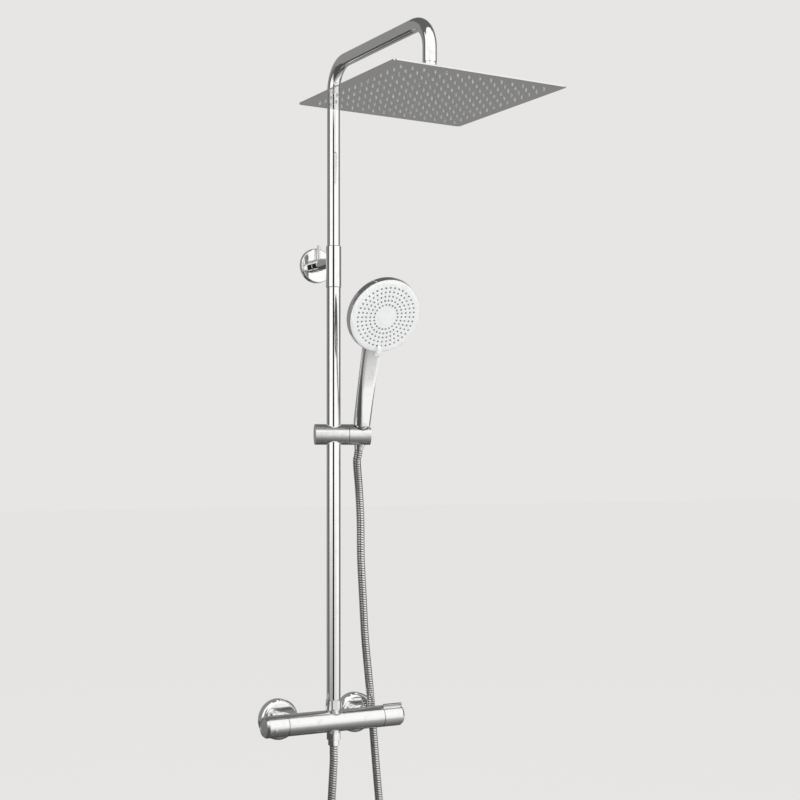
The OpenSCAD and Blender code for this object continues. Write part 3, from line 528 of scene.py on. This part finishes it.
world = bpy.data.worlds.new("studio")
bpy.context.scene.world = world
room = Finish(world)
seen = rays(room, "Camera") + rays(room, "Glossy") + rays(room, "Transmission")
backdrop = room.node("ShaderNodeBackground", {}, {"Color": backdrop_tone, "Strength": 1.0})
fill = room.node("ShaderNodeBackground", {}, {"Color": (0.92, 0.96, 1.0, 1), "Strength": 0.55})
room.end(room.node("ShaderNodeMixShader", {}, {0: seen, 1: fill, 2: backdrop}), "ShaderNodeOutputWorld")
print("floor at", -floor_drop)

# %% [markdown]
# The lamps are three large soft boxes: the key from the left and the front, a
# weaker one from the right, and one from behind that lifts the column off the
# backdrop. One small lamp would be simpler, but it would throw hard shadows of
# the tubes. The metal doesn't mirror them, so only the cards draw its bands.

# %% Lamps
def softbox(name, spot, aim, size, power):
    """A lamp at a spot, turned to its aim. size is width and height in metres, power is in watts."""
    lamp = bpy.data.lights.new(name, "AREA")
    lamp.shape = "RECTANGLE"
    lamp.size, lamp.size_y = size
    lamp.energy = power
    box = add_to_scene(name, lamp)
    box.location = spot
    box.rotation_euler = (Vector(aim) - Vector(spot)).to_track_quat("-Z", "Y").to_euler()
    box.visible_glossy = False


softbox("key", (-2.2, -2.6, 2.4), (0, -0.1, 0.4), (1.6, 2.4), 70)
softbox("side", (2.6, -2.0, 1.6), (0, -0.1, 0.4), (1.2, 2.4), 45)
softbox("back", (0.5, 2.6, 2.6), (0, 0, 0.4), (2.0, 1.6), 30)
print("lamps:", len(bpy.data.lights))

# %% [markdown]
# ## Finishes
#
# Almost everything in sight is chrome plate: a mirror with a slightly blue
# tint, over brass or plastic. A perfect mirror looks like a drawing, so the
# plate gets what a used bathroom fitting has: a faint waviness of the polished
# casting, and dull patches where water has dried. Both come from noise in the
# piece's own space, so they stay on the metal when it moves.

# %% Noise and bumps in a piece's own space
def cloud(finish, scale, detail=2.0):
    """Soft random patches between 0 and 1. scale is in patches per metre."""
    return finish.node("ShaderNodeTexNoise", {}, {
        "Vector": own_place(finish), "Scale": scale, "Detail": detail}, "Fac")


def bumps(finish, height, depth):
    """Height from 0 to 1 times a depth in metres."""
    return finish.node("ShaderNodeBump", {}, {
        "Height": height, "Distance": depth, "Strength": 1.0}, "Normal")


def shades(finish, share, low, high):
    """A colour between two, by a value from 0 to 1."""
    return ramp(finish, share, [(0.0, low), (1.0, high)])


print("a cloud is in patches per metre, a bump in metres")


# %% Metal and plastic
def plate(name, tint, dull, water_marks, waviness):
    """Bright metal: dull is its roughness where it is clean, water_marks what dried drops add."""
    finish = Finish(bpy.data.materials.new(name))
    marks = cloud(finish, scale=90.0, detail=4.0).between(low=0.52, high=0.72)
    film = cloud(finish, scale=11.0).between(low=0.35, high=0.75)
    rough = dull + water_marks * marks + 0.4 * water_marks * film
    colour = shades(finish, marks, tint, tuple(0.93 * c for c in tint))
    normal = bumps(finish, cloud(finish, scale=26.0, detail=1.0), waviness)
    return finish.end(finish.node("ShaderNodeBsdfPrincipled", {}, {
        "Base Color": colour, "Metallic": 1.0, "Roughness": rough, "Normal": normal}))


def moulding(name, low, high, rough, grain, depth):
    """Plastic, rubber or ceramic: two close shades, and the fine grain of the mould or of grinding."""
    finish = Finish(bpy.data.materials.new(name))
    patches = cloud(finish, scale=60.0, detail=3.0).between(low=0.3, high=0.7)
    colour = shades(finish, patches, low, high)
    fine = cloud(finish, scale=900.0)
    return finish.end(finish.node("ShaderNodeBsdfPrincipled", {}, {
        "Base Color": colour, "Roughness": rough + grain * fine, "Normal": bumps(finish, fine, depth)}))


# tint, roughness, roughness added by water marks, and waviness in metres
plates = {
    "chrome": ((0.90, 0.905, 0.91), 0.025, 0.05, 0.00004),
    "plated_plastic": ((0.90, 0.905, 0.91), 0.03, 0.06, 0.00006),
    "polished_steel": ((0.80, 0.80, 0.79), 0.05, 0.06, 0.00006),
    "satin_chrome": ((0.88, 0.885, 0.89), 0.20, 0.05, 0.00003),
    "steel": ((0.66, 0.66, 0.66), 0.22, 0.10, 0.00004),
    "hose_steel": ((0.84, 0.84, 0.84), 0.04, 0.05, 0.00001),
    "brass": ((0.80, 0.62, 0.32), 0.20, 0.12, 0.00004),
}
# darker and lighter shade, roughness, roughness added by the grain, and its depth in metres
mouldings = {
    "white_plastic": ((0.84, 0.84, 0.83), (0.88, 0.88, 0.87), 0.30, 0.08, 0.000006),
    "ceramic": ((0.88, 0.86, 0.80), (0.92, 0.90, 0.86), 0.18, 0.10, 0.000004),
    "grey_silicone": ((0.13, 0.135, 0.14), (0.19, 0.195, 0.20), 0.50, 0.15, 0.00001),
    # clear_silicone dresses the overhead nozzles: pale partly as their own colour, partly as a painted
    # highlight on their tips
    "clear_silicone": ((0.66, 0.67, 0.68), (0.76, 0.77, 0.78), 0.40, 0.15, 0.00001),
    # black_rubber also dresses the hose's groove, where its black is partly painted shade between the
    # turns
    "black_rubber": ((0.03, 0.03, 0.03), (0.05, 0.05, 0.05), 0.55, 0.20, 0.00002),
}
finishes = {name: plate(name, *values) for name, values in plates.items()}
finishes.update({name: moulding(name, *values) for name, values in mouldings.items()})
print("finishes:", ", ".join(finishes))

# %% [markdown]
# The packed nodes come with one plain material for each slot, and the slot says
# what the node is made of. Giving each node the finish of its slot's name
# covers what stays hidden or plain. The barrels of the bar and of the slider
# are brushed before plating, so theirs is a satin chrome, and the brass pieces
# that come out of the wall are plated too.

# %% Every packed node takes the finish of its slot
satin_nodes = {"valve_body", "temperature_knob", "flow_knob", "slider_body", "holder", "clamp_knob"}
plated_nodes = {"riser_tail", "inlet_nipples", "wall_unions"}
for name, node in nodes.items():
    for place in node.material_slots:
        finish_name = place.material.name.split(".")[0]
        if name in satin_nodes:
            finish_name = "satin_chrome"
        elif name in plated_nodes:
            finish_name = "chrome"
        place.material = finishes[finish_name]
# the hose's second finish, black rubber in the groove, is partly the rubber tube and partly painted
# shade between the turns
for finish_name in ("hose_steel", "black_rubber"):
    hose.data.materials.append(finishes[finish_name])


def dress(piece, slot, finish_name=None):
    """Gives the piece the finish named by slot, or the one named by finish_name if that is given."""
    piece.data.materials.clear()
    piece.data.materials.append(finishes[finish_name or slot])


print("satin nodes:", len(satin_nodes))

# %% [markdown]
# ## Turned shapes
#
# Knobs, roses, collars and nuts are turned on a lathe, and so is their mesh
# here: an outline of radius against length, spun round an axis. Blender's Screw
# modifier could spin it too, but lists of points can be joined with others into
# one piece. No corner on plated metal is sharp, because the plate would be thin
# there and the polisher rounds it, so each corner of an outline has a radius of
# its own. That small round is what catches the light as a thin line.

# %% Round an outline's corners
def rounded(corners, steps=5):
    """An outline of (x, y, radius) corners as points, with each corner rounded."""
    line = []
    for i, (x, y, radius) in enumerate(corners):
        here = Vector((x, y))
        if not radius or i in (0, len(corners) - 1):
            line.append(here)
            continue
        before, after = Vector(corners[i - 1][:2]) - here, Vector(corners[i + 1][:2]) - here
        back = radius / math.tan(before.angle(after) / 2)
        start = here + before.normalized() * min(back, 0.49 * before.length)
        end = here + after.normalized() * min(back, 0.49 * after.length)
        for k in range(steps + 1):
            t = k / steps
            line.append(start * (1 - t) ** 2 + here * 2 * t * (1 - t) + end * t * t)
    return line


print("a rounded corner has", len(rounded([(0, 0, 0), (1, 0, 0.2), (1, 1, 0)])) - 2, "points")


# %% Spin an outline round an axis
def across(axis):
    """Two directions square to an axis."""
    side = axis.cross(UP if abs(axis.z) < 0.9 else RIGHT).normalized()
    return side, side.cross(axis).normalized()


def turned(corners, origin, axis, around=96, steps=5):
    """An outline in millimetres, (radius, length, corner radius), spun round an axis.
    Gives the points and faces of the shape."""
    line = rounded(corners, steps)
    side, up = across(axis)
    points = [origin + (axis * p.y + (side * math.cos(a) + up * math.sin(a)) * p.x) * MM
              for a in (2 * math.pi * k / around for k in range(around)) for p in line]
    rows = len(line)
    faces = []
    for k in range(around):
        here, after = k * rows, (k + 1) % around * rows
        faces += [(here + j, here + j + 1, after + j + 1, after + j) for j in range(rows - 1)]
    return points, faces


def joined(*parts):
    """Several lists of points and faces as one."""
    points, faces = [], []
    for some_points, some_faces in parts:
        faces += [tuple(i + len(points) for i in face) for face in some_faces]
        points += some_points
    return points, faces


def shade_by_area(piece):
    """Keeps a long face's shading straight right up to its rounded edge."""
    shading = piece.modifiers.new("even shading", "WEIGHTED_NORMAL")
    shading.keep_sharp = True


print("a turned rod has", len(turned([(1, 0, 0), (1, 1, 0)], middle, UP)[1]), "faces")

# %% [markdown]
# ## Hand shower
#
# The hand shower is plated plastic with a white spray face. Its handle is
# round at the foot, where it plugs into the holder, and widens into a
# flat-fronted bar under the head, so its front face is a long taper. A turned
# or bevelled bar couldn't change its section on the way. This is a loft: a
# table gives the section at eight places, every section between them follows
# from a smooth curve, and the rings are skinned. The head is turned, with a
# soft lip round the face.

# %% The hand shower's own directions
handset_axis = joint_axis("hand_shower_turn")
spray_axis = joint_axis("spray_select")
handset_foot = Vector(joints["hand_shower_turn"]["pos_m"])
handset_right = handset_axis.cross(spray_axis).normalized()
handle_front = handset_right.cross(handset_axis).normalized()
face_up = spray_axis.cross(handset_right).normalized()
head_along, head_aside = 221.8, 3.8
head_centre = handset_foot + (handset_axis * head_along + handset_right * head_aside) * MM
print("spray face points", [round(c, 3) for c in spray_axis])


# %% The handle's sections
# distance along the handle, half of the front's width, its depth before the axis, half of the
# whole width, depth behind the axis, and squareness (2 is an ellipse)
handle_stations = [
    (19, 7.0, 12.6, 14.5, 15.0, 2.0), (35, 7.8, 11.4, 14.7, 16.0, 2.0),
    (62, 9.7, 8.8, 14.9, 16.8, 2.0), (88, 11.7, 6.9, 15.2, 15.4, 2.1),
    (115, 13.4, 6.7, 15.5, 13.6, 2.3), (142, 13.8, 7.6, 15.7, 11.8, 2.6),
    (165, 14.0, 9.8, 15.8, 11.2, 3.0), (207, 14.0, 14.0, 16.0, 11.0, 3.4)]
handle_low, handle_high = 19.4, 207


def between_stations(along):
    """The values of a station at any distance along the handle."""
    i = max(k for k in range(len(handle_stations) - 1) if handle_stations[k][0] <= along)
    rows = four_near(handle_stations, i)
    t = (along - rows[1][0]) / (rows[2][0] - rows[1][0])
    return [between(*values, t) for values in zip(*(row[1:] for row in rows))]


def handle_section(along, steps=14):
    """Half of the section, as (right, front) in millimetres, from the front's middle to the back's."""
    flat, front, width, back, squareness = between_stations(along)
    # the front and the back are each a part of a squared ellipse, and the flat cuts the front's
    full = front / (1 - (flat / width) ** squareness) ** (1 / squareness)
    start = math.acos((flat / width) ** (squareness / 2))
    line = [Vector((0, front)), Vector((0.6 * flat, front)), Vector((0.93 * flat, front - 0.05))]
    for depth, first, last in ((full, start, 0.0), (-back, 0.0, math.pi / 2)):
        for k in range(1, steps + 1):
            turn = blend_of(first, last, k / steps)
            c, s = abs(math.cos(turn)), abs(math.sin(turn))
            line.append(Vector((width * c ** (2 / squareness), depth * s ** (2 / squareness))))
    return line


print("handle's half width in its middle:", round(between_stations(100)[2], 2), "mm")


# %% Loft the handle
def skinned(points, count, closed=True):
    """The points of several rings, count to a ring, with faces between the rings and over both ends.
    A ring that isn't closed has no face between its last point and its first."""
    rings = len(points) // count
    faces = []
    for i in range(rings - 1):
        for j in range(count if closed else count - 1):
            a, b = i * count + j, i * count + (j + 1) % count
            faces.append((a, b, b + count, a + count))
    faces += [tuple(range(count)), tuple((rings - 1) * count + j for j in range(count))]
    return points, faces


def mirrored(half):
    """A whole ring from its right half, whose ends lie on the middle line."""
    return half + [Vector((-p.x, p.y)) for p in reversed(half[1:-1])]


def lofted_handle(low, high, steps=60):
    points = []
    for k in range(steps + 1):
        along = blend_of(low, high, k / steps)
        ring = mirrored(handle_section(along))
        spot = handset_foot + handset_axis * along * MM
        points += [spot + (handset_right * p.x + handle_front * p.y) * MM for p in ring]
    return skinned(points, len(ring))


head_outline = [(60.5, 27.0, 0), (62.5, 27.2, 0.4), (63.4, 26.6, 0.6), (64.0, 22.0, 3), (64.6, 15.5, 6),
                (60.5, 9.5, 12), (47.0, 3.0, 20), (26.0, -1.4, 20), (0, -2.4, 0)]
handset_shell = new_piece("handset_shell_skin", *joined(
    lofted_handle(handle_low, handle_high),
    turned(head_outline, head_centre, spray_axis, around=128, steps=7)),
    "hand_shower", ["handset_shell"], sharp=28)
dress(handset_shell, "plated_plastic")
print("hand shower:", len(handset_shell.data.polygons), "faces")

# %% [markdown]
# The spray face is a white disc with a rounded border and a slightly raised
# middle without nozzles. Every nozzle is a small bead of grey silicone with a
# hole in its tip, soft enough to rub limescale off. Dots in the material would
# look flat at the edge of the face, so each bead is turned. The rings follow
# the rule of the packed model: each is a fixed step wider than the last, and
# holds as many nozzles as fit at an almost even distance.

# %% Spray face
face_outline = [(0, 30.75, 0), (13.4, 30.7, 0.4), (14.4, 30.4, 0.4), (16.5, 30.4, 0.5),
                (57.5, 30.4, 3), (61.2, 29.9, 2.0), (62.8, 28.2, 0.8), (62.9, 26.8, 0)]
face = new_piece("handset_face_disc", *turned(face_outline, head_centre, spray_axis, around=128),
                 "hand_shower", ["handset_face"], sharp=40)
dress(face, "white_plastic")
print("spray face:", len(face.data.polygons), "faces")

# %% Nozzles of the spray face
first_ring, ring_step, nozzle_gap, gap_step = 21.5, 7.4, 6.1, 0.48
nozzle_rings = []
for step in range(5):
    ring_r = first_ring + ring_step * step
    nozzle_rings.append((ring_r, 2 * round(math.pi * ring_r / (nozzle_gap + gap_step * step))))

nozzle_outline = [(1.6, 30.3, 0), (1.5, 30.6, 0.1), (1.15, 30.66, 0.1), (1.0, 31.25, 0.3),
                  (0.45, 31.35, 0.1), (0.4, 30.8, 0), (0, 30.8, 0)]
nozzles = []
for ring_r, count in nozzle_rings:
    for k in range(count):
        turn = 2 * math.pi * k / count
        spot = head_centre + (handset_right * math.cos(turn) + face_up * math.sin(turn)) * ring_r * MM
        nozzles.append(turned(nozzle_outline, spot, spray_axis, around=12, steps=2))
face_nozzles = new_piece("handset_nozzle_tips", *joined(*nozzles), "hand_shower",
                         ["handset_nozzles"], sharp=40)
dress(face_nozzles, "grey_silicone")
print("face nozzles:", [count for _, count in nozzle_rings])

# %% [markdown]
# The lever under the face changes the spray. It is one moulding with a flat
# ring behind the face, and only its fin shows: a narrow hook that comes up
# outside the rim and lies over the face's lower edge for the thumb. A bent
# and bevelled box would do, but a ribbon swept along a few points keeps one
# rounded section all the way and is easy to reshape.

# %% A ribbon along a path
def ribbon(path, half_width, half_thick, place, bulge=0.5, around=16):
    """A rounded bar along a path of (distance down, distance out) points, narrower at its ends."""
    points = []
    for i, p in enumerate(path):
        a, b = Vector(path[max(i - 1, 0)]), Vector(path[min(i + 1, len(path) - 1)])
        forward = (b - a).normalized()
        lift = Vector((-forward.y, forward.x))
        edge = min(i, len(path) - 1 - i)
        size = (0.55, 0.88, 1.0)[min(edge, 2)]
        for k in range(around):
            turn = 2 * math.pi * k / around
            c, s = math.cos(turn), math.sin(turn)
            w = half_width * size * math.copysign(abs(c) ** 0.6, c)
            h = half_thick * size * math.copysign(abs(s) ** 0.8, s)
            spot = Vector(p) + lift * (h + bulge * (1 - (w / half_width) ** 2) * (s > 0))
            points.append(place(w, spot.x, spot.y))
    return skinned(points, around)


print("a ribbon of two points has", len(ribbon([(0, 0), (1, 0)], 1, 1, lambda *p: p)[1]), "faces")


# %% Spray lever
def on_face(right, down, out):
    """A point in millimetres right of the handle's axis, down from the face's middle and out of it."""
    return head_centre + (handset_right * (right - head_aside) - face_up * down + spray_axis * out) * MM


lever_path = [(51.0, 31.3), (52.6, 32.4), (55.5, 33.2), (59.5, 33.6), (63.5, 33.6), (67.0, 32.8),
              (69.6, 31.0), (71.0, 28.4), (71.2, 25.4), (70.4, 23.4)]
ring_outline = [(58, 22.2, 0), (61.5, 22.2, 0.2), (61.5, 24.4, 0.2), (58, 24.4, 0)]
stem = [on_face(x, y, z) for z in (22.2, 24.2) for x, y in ((-4, 58), (4, 58), (4, 69.4), (-4, 69.4))]
stem_faces = [(0, 1, 2, 3), (4, 5, 6, 7), (0, 1, 5, 4), (1, 2, 6, 5), (2, 3, 7, 6), (3, 0, 4, 7)]
lever = new_piece("spray_lever", *joined(
    ribbon(lever_path, half_width=4.5, half_thick=1.5, place=on_face), (stem, stem_faces),
    turned(ring_outline, head_centre, spray_axis, around=64)),
    "spray_selector", ["spray_dial"], sharp=40)
dress(lever, "white_plastic")
print("lever:", len(lever.data.polygons), "faces")

# %% [markdown]
# ## Bar mixer and wall connections
#
# The roses are pressed from brass sheet and polished: a rim that meets the
# wall, a rounded shoulder and an almost flat front with a hole for the union.
# The nuts are hexagon bar with turned ends, and the chamfer cuts a curved line
# into each flat. The packed model stands for all of them with sharp corners,
# so they are turned again here with the rounds that polishing leaves.

# %% Roses
rose_outline = [(33.2, 0, 0), (35.0, 0, 0.3), (35.0, 13.6, 1.5), (31.0, 17.2, 8.0), (13.4, 17.5, 0.6),
                (13.4, 15.7, 0), (31.0, 15.4, 2), (33.2, 12.5, 0), (33.2, 0, 0)]
union_r = 13.2 * MM
inlets = [centre("roses")[0] + side * span("wall_unions", 0) / 2 - side * union_r for side in (-1, 1)]
roses = new_piece("wall_roses", *joined(*(
    turned(rose_outline, Vector((x, 0, 0)), ROOM, around=128, steps=8) for x in inlets)),
    "root", ["roses"], sharp=50)
dress(roses, "chrome")
shade_by_area(roses)
print("roses at", [round(x, 4) for x in inlets])


# %% Nuts
def hex_nut(flats, bore, low, high, origin, axis, turn, worn=0.1, around=120):
    """A hexagon between two distances along an axis, with turned ends. turn is in degrees.
    worn is how far its outline is polished from a hexagon, 0, towards a circle, 1."""
    side, up = across(axis)
    corner = flats / 2 / math.cos(math.pi / 6)
    circle, land, lip, edge = 0.53 * flats, flats / 2 + 0.15, 0.25, 0.1
    points = []
    for k in range(around):
        angle = 2 * math.pi * k / around
        sharp_radius = min(flats / 2 / math.cos(angle % (math.pi / 3) - math.pi / 6), 0.98 * corner)
        radius = blend_of(sharp_radius, circle, worn)
        way = side * math.cos(angle + math.radians(turn)) + up * math.sin(angle + math.radians(turn))
        inner = min(radius, land)
        cut = max(0.02, (radius - inner) * 0.7)
        for r, z in ((bore, low), (inner - lip, low), (inner, low + edge),
                     (radius, low + cut + edge), (radius, high - cut - edge),
                     (inner, high - edge), (inner - lip, high), (bore, high)):
            points.append(origin + (way * r + axis * z) * MM)
    rows = len(points) // around
    faces = []
    for k in range(around):
        here, after = k * rows, (k + 1) % around * rows
        faces += [(here + j, here + (j + 1) % rows, after + (j + 1) % rows, after + j)
                  for j in range(rows)]
    return points, faces


foot_low, foot_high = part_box("riser_nut")
foot_nut = new_piece("riser_hexagon", *hex_nut(
    flats=25.8, bore=9, low=foot_low[2] / MM, high=foot_high[2] / MM,
    origin=Vector((riser_x, riser_y, 0)), axis=UP, turn=38.5, worn=0.55),
    "root", ["riser_nut"], sharp=20)
dress(foot_nut, "chrome")
union_low, union_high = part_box("union_nuts")
wall_nuts = new_piece("union_hexagons", *joined(*(hex_nut(
    flats=30, bore=13, low=-union_high[1] / MM, high=-union_low[1] / MM,
    origin=Vector((x, 0, 0)), axis=ROOM, turn=12) for x in inlets)), "root", ["union_nuts"], sharp=20)
dress(wall_nuts, "chrome")
print("nut at the riser's foot:", len(foot_nut.data.polygons), "faces")

# %% [markdown]
# Every other plated piece has turned or cast corners. Its packed shape is
# right, so its mesh is copied, its flat triangles are merged back into faces,
# and each crisp edge gets a small round. A Bevel modifier on the packed mesh
# would trip over its thin triangles, so the merging comes first. The round is a
# few tenths of a millimetre, and it draws the bright line of a polished edge.

# %% Round the edges of the plated pieces
flat_angle, crisp_angle, crease_angle = 0.5, 30, 28


def softened(node, body, radius, finish_name):
    """Stands a copy of a packed node, with rounded edges, in its place."""
    work = bmesh.new()
    work.from_mesh(nodes[node].data)
    bmesh.ops.remove_doubles(work, verts=work.verts, dist=SLIVER)
    bmesh.ops.dissolve_limit(work, angle_limit=math.radians(flat_angle), verts=work.verts,
                             edges=work.edges)
    bmesh.ops.bevel(work, geom=crisp_edges(work, crisp_angle), offset=radius * MM,
                    offset_type="OFFSET", segments=3, profile=0.5, affect="EDGES", clamp_overlap=True)
    bmesh.ops.remove_doubles(work, verts=work.verts, dist=SLIVER)
    bmesh.ops.triangulate(work, faces=[face for face in work.faces if len(face.verts) > 4])
    mesh = bpy.data.meshes.new(node + "_soft")
    piece = show(work, mesh, node + "_soft", body, [node], crease_angle)
    dress(piece, "chrome", finish_name)
    shade_by_area(piece)
    return piece


# body, radius of the round in millimetres, and finish
rounds = {
    "temperature_knob": ("temperature_control", 0.5, "satin_chrome"),
    "temperature_cap": ("temperature_control", 0.4, "satin_chrome"),
    "flow_cap": ("flow_control", 0.4, "satin_chrome"),
    "hose_nut": ("root", 0.3, "chrome"),
    "lower_ferrule": ("root", 0.3, "chrome"),
    "riser_collar": ("root", 0.4, "chrome"),
    "bracket_flange": ("root", 1.0, "chrome"),
    "bracket_socket": ("root", 0.6, "chrome"),
    "lock_pin": ("bracket_lock", 0.5, "chrome"),
    "head_nut": ("head", 0.8, "chrome"),
    "slider_body": ("slider", 0.6, "satin_chrome"),
    "clamp_knob": ("clamp", 0.5, "satin_chrome"),
    "holder": ("hand_shower_holder", 0.6, "satin_chrome"),
    "hose_cone": ("hose_end", 0.3, "chrome"),
    "upper_ferrule": ("hose_end", 0.5, "chrome"),
}
for node, (body, radius, finish_name) in rounds.items():
    piece = softened(node, body, radius, finish_name)
    print(node, len(piece.data.polygons), "faces")

# %% [markdown]
# The flow knob carries a thumb rib, so that a wet hand can turn it. The rib is
# cast with the knob and stands 26 degrees from the top towards the room when
# the water is off. A bevelled block would meet the barrel in a sharp corner,
# so the rib is skinned from sections that each have rounded edges above and a
# hollow round at the foot, and the sections shrink a little at both ends.

# %% Flow knob with its thumb rib
knob_at = Vector((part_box("flow_knob")[0][0], riser_y, 0))
barrel_r = 18.75
knob_outline = [(16.3, 0, 0), (barrel_r, 0, 0.3), (barrel_r, 35.5, 1.0), (16.25, 39.5, 0.6),
                (13.6, 39.5, 0.3), (13.6, 36.0, 0), (9.0, 36.0, 0)]


def rib(low, high, width, height, foot_radius, turn):
    """A block along the barrel, by sections from end to end. turn is in degrees from the top."""
    up = Vector((0, -math.sin(math.radians(turn)), math.cos(math.radians(turn))))
    aside = up.cross(RIGHT)
    # the sections crowd at both ends, where the rib shrinks by a rounded edge
    full_from, full_to = low + 1.4, high - 1.4
    stations = [low, low + 0.2, low + 0.6, full_from,
                *(blend_of(full_from, full_to, k / 6) for k in range(1, 6)),
                full_to, high - 0.6, high - 0.2, high]
    points = []
    for i, along in enumerate(stations):
        inset = (0.5, 0.2, 0.05, 0)[min(i, len(stations) - 1 - i, 3)]
        half, top = width / 2 - inset, barrel_r + height - inset
        outline = rounded([(half + foot_radius, 18.0, 0), (half, barrel_r, foot_radius),
                           (half, top, 0.6), (0, top + 0.05, 0)], steps=6)
        ring = outline + [Vector((-p.x, p.y)) for p in reversed(outline[:-1])]
        points += [knob_at + (RIGHT * along + aside * p.x + up * p.y) * MM for p in ring]
    return skinned(points, len(ring), closed=False)


flow_knob = new_piece("flow_knob_soft", *joined(
    turned(knob_outline, knob_at, RIGHT, around=128, steps=6),
    rib(low=0, high=36.5, width=4, height=5.5, foot_radius=1.2, turn=26)),
    "flow_control", ["flow_knob"], sharp=40)
dress(flow_knob, "chrome", "satin_chrome")
shade_by_area(flow_knob)
print("flow knob:", len(flow_knob.data.polygons), "faces")

# %% [markdown]
# The safety button sits in the temperature knob and has to be pressed to turn
# past 38 degrees. It is a small polished pin with a domed end, brighter than the
# satin knob round it, and a collar inside keeps it from falling out. It is
# turned, like the knobs. The coil spring under it is round wire already, so the
# packed mesh is copied. The real spring is 5.3 mm long and shortens by the
# button's 2.5 mm of travel, but the copy keeps its packed length.

# %% Safety button
button_outline = [(0, 13.75, 0), (5.2, 13.75, 0.1), (5.2, 15.35, 0.1), (4.25, 15.35, 0),
                  (4.25, 18.9, 0.4), (3.2, 19.7, 1.5), (0, 19.85, 0)]
button_at = Vector((centre("safety_button")[0], riser_y, 0))
button_out = -joint_axis("safety_press")
safety_button = new_piece(
    "safety_button_soft", *turned(button_outline, button_at, button_out, around=48),
    "safety_stop", ["safety_button"], sharp=50)
dress(safety_button, "chrome")
print("safety button faces", [round(c, 2) for c in button_out])

# %% Spring under the button
spring = add_to_scene("safety_spring_coil", nodes["safety_spring"].data.copy())
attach(spring, "temperature_control")
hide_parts("safety_spring")
dress(spring, "steel")
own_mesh(spring)

# %% [markdown]
# ## Overhead spray
#
# The plate has a grid of soft nozzles, and they hang below it as small pale
# bullets with a hole in their tips. Their pale silicone is partly their own
# colour and partly a painted highlight, for the bright dots that their tips
# show. Each is turned, at the pitch of the packed grid. Linked copies of one
# bullet would be lighter, but as one mesh they stay a single piece that rides
# on the head.

# %% Overhead nozzles
grid_low, grid_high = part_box("head_nozzles")
plate_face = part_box("head_plate")[0][2]
rows, pitch = 14, 19.2 * MM
grid_middle = (grid_low + grid_high) / 2
bullet = [(1.75, 0.2, 0), (1.7, -0.3, 0.2), (1.3, -0.7, 0.3), (1.1, -2.6, 0.3), (0.6, -2.9, 0.1),
          (0.5, -2.2, 0), (0, -2.2, 0)]
steps_out = [(i - (rows - 1) / 2) * pitch for i in range(rows)]
bullets = [turned(bullet, Vector((grid_middle.x + x, grid_middle.y + y, plate_face)), UP,
                  around=12, steps=2) for x in steps_out for y in steps_out]
head_bullets = new_piece("head_nozzle_tips", *joined(*bullets), "head", ["head_nozzles"], sharp=40)
# pale silicone instead of the slot's grey: partly the nozzles' own colour, partly a painted highlight
# on their tips
dress(head_bullets, "grey_silicone", "clear_silicone")
print("overhead nozzles:", rows * rows)

# %% [markdown]
